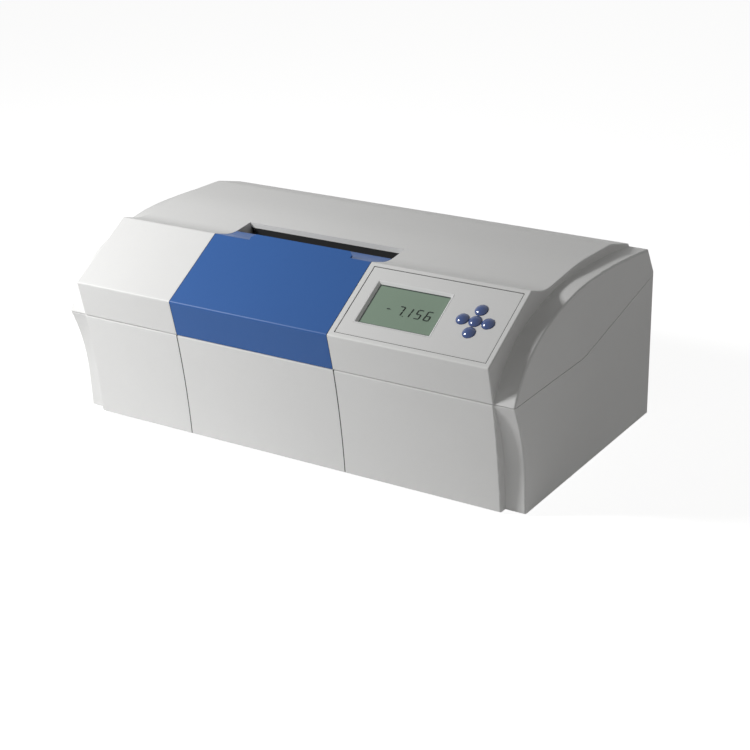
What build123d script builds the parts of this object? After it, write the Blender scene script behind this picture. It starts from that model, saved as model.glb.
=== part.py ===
from build123d import *
import os
from math import acos, atan2, cos, degrees, hypot, pi, radians, sin, tan

os.makedirs("parts", exist_ok=True)

# Frame: X to the right along the instrument, Y to its back, Z up.
# The origin lies on the table below the middle of the case. All sizes are in millimetres.

# Case, seen from the side (Y, Z)
case_length = 600.0
case_wall = 3.0
foot_stand = 3.0            # the case's lower edge stands this far above the table
front_foot_y = -145.3
front_seam_y = -156.8
front_hollow = 2.0          # how far the lower front wall bows inwards
seam_z = 130.5              # parting between the lower housing and the top cover
seam_kink_y = -4.7
seam_rise = 0.2336          # slope of the parting behind the kink
seam_bend = 60.0
seam_gap = 0.6
lip_y = -165.0              # lower end of the sloped front
lip_z = 173.5
ridge_y = -74.3             # upper end of the sloped front
ridge_z = 226.2
dip_y = -44.0               # the deck dips behind the ridge, then rises to a gentle crown
dip_z = 215.9
crown_y = 30.0
crown_z = 223.6
deck_rear_y = 106.7
deck_rear_z = 220.3
rear_slope_y = 150.0
rear_slope_z = 207.4
rear_lip_y = 165.0
rear_lip_z = 173.5
rear_foot_y = 154.7
cheek_width = 24.4          # each side of the middle block
block_round = 1.6
cheek_round = 2.2
lip_round = 2.5
ridge_round = 3.0
dip_round = 60.0
crown_round = 300.0
deck_round = 30.0

# Side cheeks, seen from the side
cheek_foot_y = -136.4
cheek_flare_z = 40.0
cheek_seam_y = -156.0
cheek_shoulder_y = -92.0
cheek_shoulder_z = 192.4
cheek_crown_y = 15.0
cheek_crown_z = 214.0
cheek_rear_z = 204.3

# Sample lid and the recess behind it
lid_left_inset = 162.6      # from the ends of the case to the sides of the lid opening
lid_right_inset = 221.7
lid_gap = 0.8
lid_wall = 3.0
lid_rear_y = -35.0
recess_rear_y = -8.0
return_wall = 2.5           # walls that close the cover round the lid opening
return_foot_z = 213.5       # lower edge of the one behind the lid
grip_left_inset = 49.4      # raised finger lip along the lid's ridge, from the opening's sides
grip_right_inset = 28.3
grip_reach = 9.0
grip_thick = 2.4
grip_root = 10.0
grip_chamfer = 5.0

# Lid hinge
hinge_y = -30.0
hinge_z = 209.4
hinge_pin_radius = 2.0
hinge_running_gap = 0.05
knuckle_radius = 4.6
knuckle_width = 16.0
hinge_side_gap = 0.4
hinge_ear_width = 4.0
hinge_inset = 34.0          # from the lid's ends to the middle of each hinge
shelf_z = 200.0
shelf_thick = 1.5
shelf_rear_y = -6.0
bracket_foot_length = 18.0
bracket_foot_thick = 2.0
bumper_radius = 4.0
bumper_inset = 12.0
bumper_height = 2.6

# Front panel between the two joint lines
panel_gap = 0.8
panel_backing = 2.0
panel_overlap = 9.0

# Display panel on the slope, measured along X and up the slope from the front lip
overlay_margin_x = 6.0
overlay_margin_low = 5.6
overlay_margin_high = 4.8
overlay_thick = 0.8
overlay_depth = 1.1
overlay_gap = 0.9
window_inset = 20.7         # from the block of the display to the window
window_width = 95.2
window_low = 23.2
window_high = 83.4
bezel_gap = 0.15
bezel_band = 3.4
bezel_sink = 0.2            # from the slope down to the bezel's face
bezel_taper = 40.0
lcd_glass_thick = 1.2
lcd_module_thick = 8.0
lcd_edge = 2.0
board_thick = 1.6
board_edge = 8.0
board_boss = 5.0            # from the board's corners to its bosses
board_boss_radius = 3.5
key_inset = 42.3            # from the display's right end to the middle key
key_centre_v = 53.8
key_pitch = 15.2
key_radius = 7.1
key_gap = 0.2
key_dome = 2.8
key_proud = 0.5
key_flange_radius = 7.5
key_flange_thick = 1.0
key_flange_gap = 0.2
key_travel = 1.0
key_switch_radius = 3.0
key_switch_gap = 0.1

# Optical train; the beam runs along X at this place
beam_y = -85.0
beam_z = 110.0
beam_radius = 8.0
bench_top = 72.0
bench_thick = 10.0
bench_width = 76.0
bench_left_inset = 12.0     # from the ends of the case
bench_right_inset = 64.0
bench_leg = 14.0
bench_leg_inset = 20.0
lamp_inset = 2.0            # from the bench's left end
lamp_house_length = 64.0
lamp_house_width = 64.0
lamp_house_height = 84.0
lamp_sheet = 1.5
lamp_vents = 5
lamp_radius = 11.0
lamp_length = 58.0
socket_radius = 14.0
socket_height = 12.0
condenser_gap = 8.0         # from the lamp house to the condenser barrel
condenser_length = 22.0
barrel_radius = 19.0
barrel_wall = 3.0
lens_thick = 4.0
lens_bulge = 2.5
plinth_half = 17.0
polariser_gap = 8.0         # between the condenser, the polariser and the coil, middle to side
mount_length = 8.0
film_thick = 1.0
film_radius = 12.0
coil_gap = 10.0
coil_length = 28.0
bobbin_flange = 24.0
bobbin_flange_thick = 2.5
bobbin_core = 12.0
rod_radius = 9.0
rod_overhang = 2.0

# Analyser drive
gear_module = 1.0
gear_teeth = 64
pinion_teeth = 16
gear_face = 6.0
pinion_face = 8.0
gear_backlash = 0.16
gear_clearance = 0.25
gear_addendum = 0.9
pressure_angle = 20.0
flank_steps = 4
root_bite = 0.98
analyser_inset = 196.0      # from the right end of the case
hub_radius = 14.0
hub_bore = 11.0
hub_overhang = 4.0
bearing_wall = 3.0
bearing_running_gap = 0.05
bracket_thick = 12.0
bracket_margin = 8.0
motor_radius = 14.0
motor_length = 36.0
motor_shaft_radius = 2.5
motor_shaft_gap = 0.05
motor_gap = 4.0
motor_sheet = 2.0

# Detector
filter_gap = 6.0            # between the filter holder and the tube house
filter_length = 10.0
filter_radius = 12.5
filter_thick = 4.0
tube_house_inset = 8.0      # from the bench's right end
tube_house_length = 70.0
tube_house_radius = 28.0
tube_house_wall = 2.0
tube_radius = 14.0
tube_length = 50.0
tube_cap_length = 10.0

# Sample chamber
chamber_sheet = 1.5
chamber_end_gap = 1.0       # from the tub's ends to the ends of the lid opening
chamber_front_y = -143.0
chamber_rear_y = -42.0
chamber_rim_z = 127.0
chamber_window_radius = 11.0
window_ring = 3.0
window_ring_thick = 2.0
window_glass_thick = 2.0
cradle_rail_radius = 4.0
cradle_rail_spread = 9.0
tube_rest_radius = 15.0
cradle_plate = 5.0
cradle_plate_inset = 24.0
cradle_plate_half = 18.0
cradle_rail_inset = 4.0

# Base and feet
base_thick = 2.0
base_recess = 3.0           # the plate sits this far up inside the case's lower edge
foot_radius = 13.0
foot_top_radius = 11.0
foot_inset = 64.0           # from the ends of the case
foot_front_y = -112.0
foot_rear_y = 122.0
screw_radius = 2.0
screw_head_radius = 4.0
screw_head = 2.0
base_boss_radius = 5.0
base_boss_height = 14.0
base_boss_bite = 0.8        # how far each boss runs into the side wall
base_boss_front_y = -122.0
base_boss_rear_y = 136.0

# Electronics
board_inset = 180.0         # from the right end of the case
board_length = 190.0
board_front = -18.0
board_rear = 118.0
board_lift = 10.0
standoff_radius = 4.0
standoff_inset = 8.0
chip_height = 4.0
chip_length = 24.0
chip_width = 12.0
chip_pitch = 38.0
chip_columns = 4
chip_rows = 3
transformer_inset = 48.0    # from the right end of the case
transformer_length = 80.0
transformer_front = 40.0
transformer_rear = 104.0
transformer_height = 66.0
coil_proud = 12.0           # how far a coil stands out of its iron core
coil_margin = 10.0
coil_round = 3.0
ballast_inset = 38.0        # from the left end of the case
ballast_length = 90.0
ballast_front = 30.0
ballast_rear = 84.0
ballast_height = 48.0
high_voltage_inset = 86.0   # from the right end of the case
high_voltage_length = 74.0
high_voltage_front = -28.0
high_voltage_rear = 16.0
high_voltage_height = 34.0

# Rear panel, set in the lower housing's back wall; up the wall from the case's lower edge
rear_panel_inset = 60.0     # from the right end of the case
rear_panel_length = 180.0
rear_panel_low = 26.0
rear_panel_high = 104.0
rear_panel_thick = 1.5
rear_panel_border = 8.0
fitting_row = 64.0
inlet_inset = 28.0          # from the rear panel's right end to each fitting's middle
inlet_width = 28.0
inlet_height = 48.0
inlet_depth = 22.0
inlet_flange = 3.0
inlet_lug = 8.0
inlet_mouth_width = 17.0
inlet_mouth_height = 25.0
inlet_mouth_depth = 18.0
inlet_pin_pitch = 4.5
inlet_pin_rise = 5.0
inlet_pin_thick = 2.0
inlet_pin_width = 4.0
inlet_pin_length = 10.0
fuse_inset = 62.0
fuse_radius = 7.5
fuse_proud = 8.0
fuse_depth = 26.0
power_rocker_inset = 94.0
lamp_rocker_inset = 124.0
rocker_width = 14.0
rocker_height = 24.0
rocker_frame = 3.0
rocker_frame_proud = 2.0
rocker_gap = 0.4
rocker_depth = 16.0
rocker_tilt = 9.0
rocker_pin_radius = 1.5
rocker_pin_depth = 5.0
rocker_pin_gap = 0.05
rocker_pin_wall = 2.0
serial_inset = 157.0
serial_width = 18.0
serial_height = 34.0
serial_proud = 5.0
serial_depth = 12.0
vent_slots = 9
vent_pitch = 10.0
vent_width = 4.0
vent_height = 52.0
vent_inset = 85.0           # from the left end of the case to the middle of the slots
vent_low = 60.0

# Sizes that follow from the ones above
case_half = case_length / 2
block_half = case_half - cheek_width
lid_left = lid_left_inset - case_half
lid_right = case_half - lid_right_inset
grip_left = lid_left + grip_left_inset
grip_right = lid_right - grip_right_inset
analyser_x = case_half - analyser_inset
board_right = case_half - board_inset
board_left = board_right - board_length
window_left = lid_right + window_inset
window_right = window_left + window_width
key_centre_x = block_half - key_inset
bench_left = bench_left_inset - case_half
bench_right = case_half - bench_right_inset
lamp_left = bench_left + lamp_inset
lamp_right = lamp_left + lamp_house_length
condenser_left = lamp_right + condenser_gap
polariser_x = condenser_left + condenser_length + polariser_gap
coil_left = polariser_x + mount_length / 2 + coil_gap
coil_right = coil_left + coil_length
tube_house_left = bench_right - tube_house_inset - tube_house_length
filter_x = tube_house_left - filter_gap - filter_length
foot_x = case_half - foot_inset
transformer_right = case_half - transformer_inset
transformer_left = transformer_right - transformer_length
ballast_left = ballast_inset - case_half
ballast_right = ballast_left + ballast_length
high_voltage_right = case_half - high_voltage_inset
high_voltage_left = high_voltage_right - high_voltage_length
rear_panel_right = case_half - rear_panel_inset
rear_panel_left = rear_panel_right - rear_panel_length
inlet_x = rear_panel_right - inlet_inset
fuse_x = rear_panel_right - fuse_inset
power_rocker_x = rear_panel_right - power_rocker_inset
lamp_rocker_x = rear_panel_right - lamp_rocker_inset
serial_x = rear_panel_right - serial_inset
vent_x = vent_inset - case_half
far = 2 * case_length       # a length longer than anything in the case
slope_angle = degrees(atan2(ridge_z - lip_z, ridge_y - lip_y))
slope_length = hypot(ridge_z - lip_z, ridge_y - lip_y)
slope_plane = Plane(
    origin=(0, lip_y, lip_z),
    x_dir=(1, 0, 0),
    z_dir=(0, -sin(radians(slope_angle)), cos(radians(slope_angle))),
)
back_lean = atan2(rear_lip_y - rear_foot_y, rear_lip_z - foot_stand)
back_plane = Plane(
    origin=(0, rear_foot_y, foot_stand),
    x_dir=(-1, 0, 0),
    z_dir=(0, cos(back_lean), -sin(back_lean)),
)
base_z = foot_stand + base_recess
floor_z = base_z + base_thick


def save(piece, label):
    """Name a finished piece and write its file."""
    piece.part.label = label
    export_step(piece.part, f"parts/{label}.step")


def block(low, high, mode=Mode.ADD):
    """A box between two opposite corners."""
    size = [b - a for a, b in zip(low, high)]
    with Locations(low):
        Box(*size, align=(Align.MIN, Align.MIN, Align.MIN), mode=mode)


def along_x(start, length, y, z, radius, mode=Mode.ADD):
    """A round bar that runs along X from start."""
    with Locations(Plane(origin=(start, y, z), x_dir=(0, 1, 0), z_dir=(1, 0, 0))):
        Cylinder(radius, length, align=(Align.CENTER, Align.CENTER, Align.MIN), mode=mode)


def upright(x, y, z, height, radius, mode=Mode.ADD):
    """A round bar that stands on z."""
    with Locations((x, y, z)):
        Cylinder(radius, height, align=(Align.CENTER, Align.CENTER, Align.MIN), mode=mode)


def block_profile(inset, open_foot):
    """Side view of the middle block, drawn inset from its outer face."""
    foot_z = foot_stand
    with BuildSketch(Plane.YZ) as profile:
        with BuildLine():
            front = SagittaArc((front_foot_y, foot_z), (front_seam_y, seam_z), -front_hollow)
            shape = FilletPolyline(
                front @ 1,
                (lip_y, lip_z),
                (ridge_y, ridge_z),
                (dip_y, dip_z),
                (crown_y, crown_z),
                (deck_rear_y, deck_rear_z),
                (rear_slope_y, rear_slope_z),
                (rear_lip_y, rear_lip_z),
                (rear_foot_y, foot_z),
                radius=[lip_round, ridge_round, dip_round, crown_round, deck_round, lip_round, lip_round],
            )
            Line(shape @ 1, front @ 0)
        make_face()
        knee = profile.vertices().sort_by_distance((front_seam_y, seam_z, 0))[0]
        fillet(knee, radius=deck_round)
        if inset > 0:
            offset(amount=-inset, kind=Kind.INTERSECTION)
        if open_foot:
            with BuildLine():
                Polyline(
                    (front_foot_y + inset, -foot_z),
                    (front_foot_y + inset, foot_z + 2 * inset),
                    (rear_foot_y - inset, foot_z + 2 * inset),
                    (rear_foot_y - inset, -foot_z),
                    close=True,
                )
            make_face()
    return profile.sketch


def cheek_profile(inset, open_foot):
    """Side view of a cheek: upright foot, flare to the seam, then a long rounded brow."""
    foot_z = foot_stand
    with BuildSketch(Plane.YZ) as profile:
        with BuildLine():
            shin = Line((cheek_foot_y, foot_z), (cheek_foot_y, cheek_flare_z))
            flare = TangentArc(shin @ 1, (cheek_seam_y, seam_z + seam_gap / 2), tangent=(0, 1))
            crown = TangentArc(
                (cheek_crown_y, cheek_crown_z),
                (cheek_shoulder_y, cheek_shoulder_z),
                tangent=(-1, 0),
            )
            TangentArc(crown @ 1, flare @ 1, tangent=crown % 1)
            back = TangentArc(crown @ 0, (rear_slope_y, cheek_rear_z), tangent=(1, 0))
            Polyline(back @ 1, (rear_lip_y, rear_lip_z), (rear_foot_y, foot_z), shin @ 0)
        make_face()
        if inset > 0:
            offset(amount=-inset, kind=Kind.INTERSECTION)
        if open_foot:
            with BuildLine():
                Polyline(
                    (cheek_foot_y + inset, -foot_z),
                    (cheek_foot_y + inset, foot_z + 2 * inset),
                    (rear_foot_y - inset, foot_z + 2 * inset),
                    (rear_foot_y - inset, -foot_z),
                    close=True,
                )
            make_face()
    return profile.sketch


def envelope(inset=0.0, open_foot=False):
    """The whole case as one body: the middle block and the two cheeks beside it."""
    with BuildPart() as middle:
        extrude(block_profile(inset, open_foot), amount=block_half - inset, both=True)
        if inset == 0:
            ends = middle.edges().filter_by(lambda edge: abs(edge.center().X) > block_half - block_round)
            fillet(ends.filter_by(lambda edge: edge.center().Z > foot_stand + block_round), radius=block_round)
    with BuildPart() as whole:
        extrude(cheek_profile(inset, open_foot), amount=case_half - inset, both=True)
        if inset == 0:
            ends = whole.edges().filter_by(lambda edge: abs(edge.center().X) > case_half - cheek_round)
            fillet(ends.filter_by(lambda edge: edge.center().Z > foot_stand + cheek_round), radius=cheek_round)
        add(middle.part)
    return whole.part


def seam_region(above, gap=0.0):
    """Everything above, or below, the bent parting surface."""
    limit = case_length if above else -case_length
    with BuildSketch(Plane.YZ) as region:
        with BuildLine():
            line = FilletPolyline(
                (-case_length, seam_z + gap),
                (seam_kink_y, seam_z + gap),
                (case_length, seam_z + gap + seam_rise * (case_length - seam_kink_y)),
                radius=seam_bend,
            )
            Polyline(line @ 1, (case_length, limit), (-case_length, limit), line @ 0)
        make_face()
    return extrude(region.sketch, amount=case_length, both=True, mode=Mode.PRIVATE)


outer_case = envelope()
inner_case = envelope(case_wall, open_foot=True)
above_seam = seam_region(True, seam_gap)
below_seam = seam_region(False)


# Front panel: the middle of the lower front, between the two joint lines
panel_limit_y = cheek_foot_y - case_wall
with BuildPart() as front_panel:
    add(outer_case)
    add(inner_case, mode=Mode.SUBTRACT)
    add(below_seam, mode=Mode.INTERSECT)
    block(
        (lid_left + panel_gap / 2, -far, -far),
        (lid_right - panel_gap / 2, panel_limit_y, far),
        mode=Mode.INTERSECT,
    )
save(front_panel, "front_panel")

# Backing strips behind the two joint lines carry the front panel's edges
backing_case = envelope(case_wall + panel_backing, open_foot=True)
with BuildPart() as backing_strips:
    add(inner_case)
    add(backing_case, mode=Mode.SUBTRACT)
    block(
        (lid_left - panel_overlap, -far, floor_z),
        (lid_right + panel_overlap, panel_limit_y, seam_z - panel_backing),
        mode=Mode.INTERSECT,
    )
    block((lid_left + panel_overlap, -far, -far), (lid_right - panel_overlap, far, far), mode=Mode.SUBTRACT)

# Lower housing: a moulded tub with an opening for the front panel and one for the rear panel
base_boss_x = case_half - case_wall - base_boss_radius + base_boss_bite
base_boss_spots = [
    (side * base_boss_x, y) for side in (-1, 1) for y in (base_boss_front_y, base_boss_rear_y)
]
rear_panel_middle = (-(rear_panel_left + rear_panel_right) / 2, (rear_panel_low + rear_panel_high) / 2)
rear_panel_width = rear_panel_right - rear_panel_left
rear_panel_height = rear_panel_high - rear_panel_low
with BuildPart() as lower_housing:
    add(outer_case)
    add(inner_case, mode=Mode.SUBTRACT)
    add(below_seam, mode=Mode.INTERSECT)
    block(
        (lid_left - panel_gap / 2, -far, -far),
        (lid_right + panel_gap / 2, panel_limit_y, far),
        mode=Mode.SUBTRACT,
    )
    add(backing_strips.part)
    for x, y in base_boss_spots:
        upright(x, y, floor_z, base_boss_height, base_boss_radius)
        upright(x, y, floor_z, base_boss_height, screw_radius, mode=Mode.SUBTRACT)
    with BuildSketch(back_plane):
        with Locations(rear_panel_middle):
            Rectangle(rear_panel_width - 2 * rear_panel_border, rear_panel_height - 2 * rear_panel_border)
        with Locations((-vent_x, vent_low + vent_height / 2)):
            with GridLocations(vent_pitch, 0, vent_slots, 1):
                SlotOverall(vent_height, vent_width, rotation=90)
    extrude(amount=-2 * case_wall, mode=Mode.SUBTRACT)
save(lower_housing, "lower_housing")

# Base plate: pressed steel, set up inside the case's lower edge
foot_spots = [(side * foot_x, y) for side in (-1, 1) for y in (foot_front_y, foot_rear_y)]
with BuildPart() as base_plate:
    add(inner_case)
    block((-far, -far, base_z), (far, far, floor_z), mode=Mode.INTERSECT)
    for x, y in base_boss_spots + foot_spots:
        upright(x, y, base_z, base_thick, screw_radius, mode=Mode.SUBTRACT)
save(base_plate, "base_plate")

# Rubber feet: tapered pads, each with a well that hides its screw
with BuildPart() as rubber_feet:
    for x, y in foot_spots:
        with Locations((x, y, 0)):
            Cone(foot_radius, foot_top_radius, base_z, align=(Align.CENTER, Align.CENTER, Align.MIN))
        upright(x, y, 0, base_z - screw_head, screw_head_radius + seam_gap, mode=Mode.SUBTRACT)
        upright(x, y, 0, base_z, screw_radius, mode=Mode.SUBTRACT)
save(rubber_feet, "rubber_feet")

# Screws that hold the feet and the base plate, all alike
with BuildPart() as case_screws:
    for x, y in foot_spots:
        upright(x, y, base_z - 2 * screw_head, screw_head, screw_head_radius)
        upright(x, y, base_z - screw_head, base_boss_height, screw_radius)
    for x, y in base_boss_spots:
        upright(x, y, base_z - screw_head, screw_head, screw_head_radius)
        upright(x, y, base_z, base_boss_height, screw_radius)
save(case_screws, "case_screws")


def slope_rectangle(left, right, low, high):
    """A rectangle on the sloped front between two X places and two heights up the slope."""
    with Locations(((left + right) / 2, (low + high) / 2)):
        Rectangle(right - left, high - low)


def slope_point(x, v, depth=0.0):
    """A point on the slope, or this deep under it."""
    return slope_plane.from_local_coords((x, v, -depth))


# Places of the display panel's pieces on the slope
overlay_left = lid_right + overlay_margin_x
overlay_right = block_half - overlay_margin_x
overlay_low = overlay_margin_low
overlay_high = slope_length - overlay_margin_high
key_spots = {
    "key_up": (key_centre_x, key_centre_v + key_pitch),
    "key_left": (key_centre_x - key_pitch, key_centre_v),
    "key_enter": (key_centre_x, key_centre_v),
    "key_right": (key_centre_x + key_pitch, key_centre_v),
    "key_down": (key_centre_x, key_centre_v - key_pitch),
}
lcd_depth = case_wall + bezel_gap
board_depth = lcd_depth + lcd_glass_thick + lcd_module_thick
board_x = (lid_right + return_wall + board_edge, block_half - case_wall - board_edge)
board_v = (overlay_low, overlay_high)
board_spots = [(x, v) for x in (board_x[0] + board_boss, board_x[1] - board_boss)
               for v in (board_v[0] + board_boss, board_v[1] - board_boss)]

# Walls that close the top cover round the lid opening
with BuildPart() as cover_returns:
    add(outer_case)
    add(above_seam, mode=Mode.INTERSECT)
    block(
        (lid_left - return_wall, -far, -far),
        (lid_right + return_wall, recess_rear_y + return_wall, far),
        mode=Mode.INTERSECT,
    )
    block((lid_left, -far, -far), (lid_right, recess_rear_y, far), mode=Mode.SUBTRACT)
    block((lid_left, -far, -far), (lid_right, far, return_foot_z), mode=Mode.SUBTRACT)

# Top cover: one moulding, open for the lid, with the display panel's pocket and holes
with BuildPart() as top_cover:
    add(outer_case)
    add(inner_case, mode=Mode.SUBTRACT)
    add(above_seam, mode=Mode.INTERSECT)
    block((lid_left, -far, -far), (lid_right, recess_rear_y, far), mode=Mode.SUBTRACT)
    add(cover_returns.part)
    for x, v in board_spots:
        boss_plane = Plane(origin=slope_point(x, v, case_wall / 2), x_dir=(1, 0, 0), z_dir=-slope_plane.z_dir)
        with Locations(boss_plane):
            Cylinder(board_boss_radius, board_depth - case_wall / 2,
                     align=(Align.CENTER, Align.CENTER, Align.MIN))
    with BuildSketch(slope_plane):
        slope_rectangle(overlay_left, overlay_right, overlay_low, overlay_high)
    extrude(amount=-overlay_depth, mode=Mode.SUBTRACT)
    with BuildSketch(slope_plane):
        slope_rectangle(window_left, window_right, window_low, window_high)
        for spot in key_spots.values():
            with Locations(spot):
                Circle(key_radius + key_gap)
    extrude(amount=-2 * case_wall, mode=Mode.SUBTRACT)
save(top_cover, "top_cover")

# Sample lid: a blue shell flush with the cover, with a finger lip along its ridge
lid_low_x = lid_left + lid_gap
lid_high_x = lid_right - lid_gap
with BuildPart() as lid_hollow:
    add(inner_case)
    block((lid_low_x + lid_wall, -far, -far), (lid_high_x - lid_wall, far, far), mode=Mode.INTERSECT)
with BuildPart() as sample_lid:
    add(outer_case)
    add(above_seam, mode=Mode.INTERSECT)
    block((lid_low_x, -far, -far), (lid_high_x, lid_rear_y, far), mode=Mode.INTERSECT)
    add(lid_hollow.part, mode=Mode.SUBTRACT)
    with BuildSketch(slope_plane) as grip:
        slope_rectangle(grip_left, grip_right, slope_length - grip_root, slope_length + grip_reach)
        chamfer(grip.vertices().group_by(Axis.Z)[-1], length=grip_chamfer)
    extrude(amount=-grip_thick)
save(sample_lid, "sample_lid")

# Lid knuckles: metal blocks glued under the lid's rear edge, bored for the pins
hinge_spots = (lid_low_x + hinge_inset, lid_high_x - hinge_inset)
with BuildPart() as lid_knuckles:
    for x in hinge_spots:
        start = x - knuckle_width / 2
        along_x(start, knuckle_width, hinge_y, hinge_z, knuckle_radius)
        block(
            (start, lid_rear_y - knuckle_width, hinge_z - knuckle_radius / 2),
            (start + knuckle_width, lid_rear_y, dip_z),
        )
        block(
            (start, lid_rear_y - knuckle_radius, hinge_z - knuckle_radius / 2),
            (start + knuckle_width, hinge_y, hinge_z + knuckle_radius / 2),
        )
        along_x(start, knuckle_width, hinge_y, hinge_z,
                hinge_pin_radius + hinge_running_gap, mode=Mode.SUBTRACT)
    add(sample_lid.part, mode=Mode.SUBTRACT)
save(lid_knuckles, "lid_knuckles")

# Hinge shelf: the black sheet behind the chamber that carries the hinge brackets
shelf_x = (lid_low_x + lid_wall + hinge_side_gap, lid_high_x - lid_wall - hinge_side_gap)
with BuildPart() as hinge_shelf:
    block(
        (shelf_x[0], chamber_rear_y, chamber_rim_z),
        (shelf_x[1], chamber_rear_y + shelf_thick, shelf_z),
    )
    block(
        (shelf_x[0], chamber_rear_y, shelf_z - shelf_thick),
        (shelf_x[1], shelf_rear_y, shelf_z),
    )
    block(
        (shelf_x[0], shelf_rear_y - shelf_thick, shelf_z - shelf_thick),
        (shelf_x[1], shelf_rear_y, return_foot_z),
    )
save(hinge_shelf, "hinge_shelf")

# Hinge brackets: a foot with two ears beside each knuckle
ear_inner = knuckle_width / 2 + hinge_side_gap
ear_outer = ear_inner + hinge_ear_width
ear_radius = knuckle_radius - hinge_side_gap
with BuildPart() as hinge_brackets:
    for x in hinge_spots:
        block(
            (x - ear_outer, hinge_y - bracket_foot_length / 2, shelf_z),
            (x + ear_outer, hinge_y + bracket_foot_length / 2, shelf_z + bracket_foot_thick),
        )
        for start in (x - ear_outer, x + ear_inner):
            along_x(start, hinge_ear_width, hinge_y, hinge_z, ear_radius)
            block(
                (start, hinge_y - ear_radius, shelf_z),
                (start + hinge_ear_width, hinge_y + ear_radius, hinge_z),
            )
        along_x(x - ear_outer, 2 * ear_outer, hinge_y, hinge_z, hinge_pin_radius, mode=Mode.SUBTRACT)
save(hinge_brackets, "hinge_brackets")

with BuildPart() as hinge_pins:
    for x in hinge_spots:
        along_x(x - ear_outer, 2 * ear_outer, hinge_y, hinge_z, hinge_pin_radius)
save(hinge_pins, "hinge_pins")

# Rubber bumpers under the lid's front corners, glued inside its front wall
bumper_y = panel_limit_y - bumper_radius
with BuildPart() as lid_bumpers:
    for x in (lid_low_x + lid_wall + bumper_inset, lid_high_x - lid_wall - bumper_inset):
        block(
            (x - bumper_radius, front_seam_y + lid_wall - bumper_height, seam_z + bumper_inset),
            (x + bumper_radius, bumper_y, seam_z + bumper_inset + bumper_radius),
        )
    add(lid_hollow.part, mode=Mode.INTERSECT)
save(lid_bumpers, "lid_bumpers")

# Display overlay: a thin grey plate in the pocket, with a window and key holes
with BuildPart() as display_overlay:
    with BuildSketch(slope_plane.offset(-overlay_depth)):
        slope_rectangle(
            overlay_left + overlay_gap,
            overlay_right - overlay_gap,
            overlay_low + overlay_gap,
            overlay_high - overlay_gap,
        )
        with Locations(((window_left + window_right) / 2, (window_low + window_high) / 2)):
            Rectangle(window_right - window_left, window_high - window_low, mode=Mode.SUBTRACT)
        for spot in key_spots.values():
            with Locations(spot):
                Circle(key_radius + key_gap, mode=Mode.SUBTRACT)
    extrude(amount=overlay_thick)
save(display_overlay, "display_overlay")

# LCD bezel: a bevelled frame that lines the window
bezel_box = (
    window_left + bezel_gap,
    window_right - bezel_gap,
    window_low + bezel_gap,
    window_high - bezel_gap,
)
bezel_inner = (
    bezel_box[0] + bezel_band,
    bezel_box[1] - bezel_band,
    bezel_box[2] + bezel_band,
    bezel_box[3] - bezel_band,
)
with BuildPart() as lcd_bezel:
    with BuildSketch(slope_plane.offset(-lcd_depth)):
        slope_rectangle(*bezel_box)
    extrude(amount=lcd_depth - bezel_sink)
    with BuildSketch(slope_plane.offset(-lcd_depth)):
        slope_rectangle(*bezel_inner)
    extrude(amount=lcd_depth, taper=-bezel_taper, mode=Mode.SUBTRACT)
save(lcd_bezel, "lcd_bezel")

# LCD glass and the module behind it, larger than the window all round
lcd_box = (window_left - lcd_edge, window_right + lcd_edge, window_low - lcd_edge, window_high + lcd_edge)
with BuildPart() as lcd_glass:
    with BuildSketch(slope_plane.offset(-lcd_depth)):
        slope_rectangle(*lcd_box)
    extrude(amount=-lcd_glass_thick)
save(lcd_glass, "lcd_glass")

with BuildPart() as lcd_module:
    with BuildSketch(slope_plane.offset(-lcd_depth - lcd_glass_thick)):
        slope_rectangle(*lcd_box)
    extrude(amount=-lcd_module_thick)
save(lcd_module, "lcd_module")

# Display board: carries the LCD module and a switch under each key, hung from the cover's bosses
switch_depth = case_wall + key_flange_gap + key_flange_thick + key_travel + key_switch_gap
with BuildPart() as display_board:
    with BuildSketch(slope_plane.offset(-board_depth)):
        slope_rectangle(*board_x, *board_v)
    extrude(amount=-board_thick)
    with BuildSketch(slope_plane.offset(-board_depth)):
        for spot in key_spots.values():
            with Locations(spot):
                Circle(key_switch_radius)
    extrude(amount=board_depth - switch_depth)
save(display_board, "display_board")


def make_key(label, x, v):
    """A domed key cap with a flange that holds it behind the cover."""
    flange_top = -case_wall - key_flange_gap
    flange_foot = flange_top - key_flange_thick
    middle = slope_point(x, v)
    side_view = Plane(origin=middle, x_dir=(1, 0, 0), z_dir=-slope_plane.y_dir)
    with BuildPart() as key:
        with BuildSketch(side_view):
            with BuildLine():
                edge = Polyline(
                    (0, flange_foot),
                    (key_flange_radius, flange_foot),
                    (key_flange_radius, flange_top),
                    (key_radius, flange_top),
                    (key_radius, key_proud),
                )
                dome = TangentArc((0, key_proud + key_dome), edge @ 1, tangent=(1, 0))
                Line(dome @ 0, edge @ 0)
            make_face()
        revolve(axis=Axis(middle, slope_plane.z_dir))
    save(key, label)


for label, spot in key_spots.items():
    make_key(label, *spot)

# Sample chamber: a black sheet-metal tub with a ringed beam hole in each end
chamber_left = lid_left + chamber_end_gap
chamber_right = lid_right - chamber_end_gap
with BuildPart() as sample_chamber:
    block((chamber_left, chamber_front_y, bench_top), (chamber_right, chamber_rear_y, chamber_rim_z))
    block(
        (chamber_left + chamber_sheet, chamber_front_y + chamber_sheet, bench_top + chamber_sheet),
        (chamber_right - chamber_sheet, chamber_rear_y - chamber_sheet, far),
        mode=Mode.SUBTRACT,
    )
    for start in (chamber_left - window_ring_thick, chamber_right):
        along_x(start, window_ring_thick, beam_y, beam_z, chamber_window_radius + window_ring)
    along_x(-far / 2, far, beam_y, beam_z, chamber_window_radius, mode=Mode.SUBTRACT)
save(sample_chamber, "sample_chamber")

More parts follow.
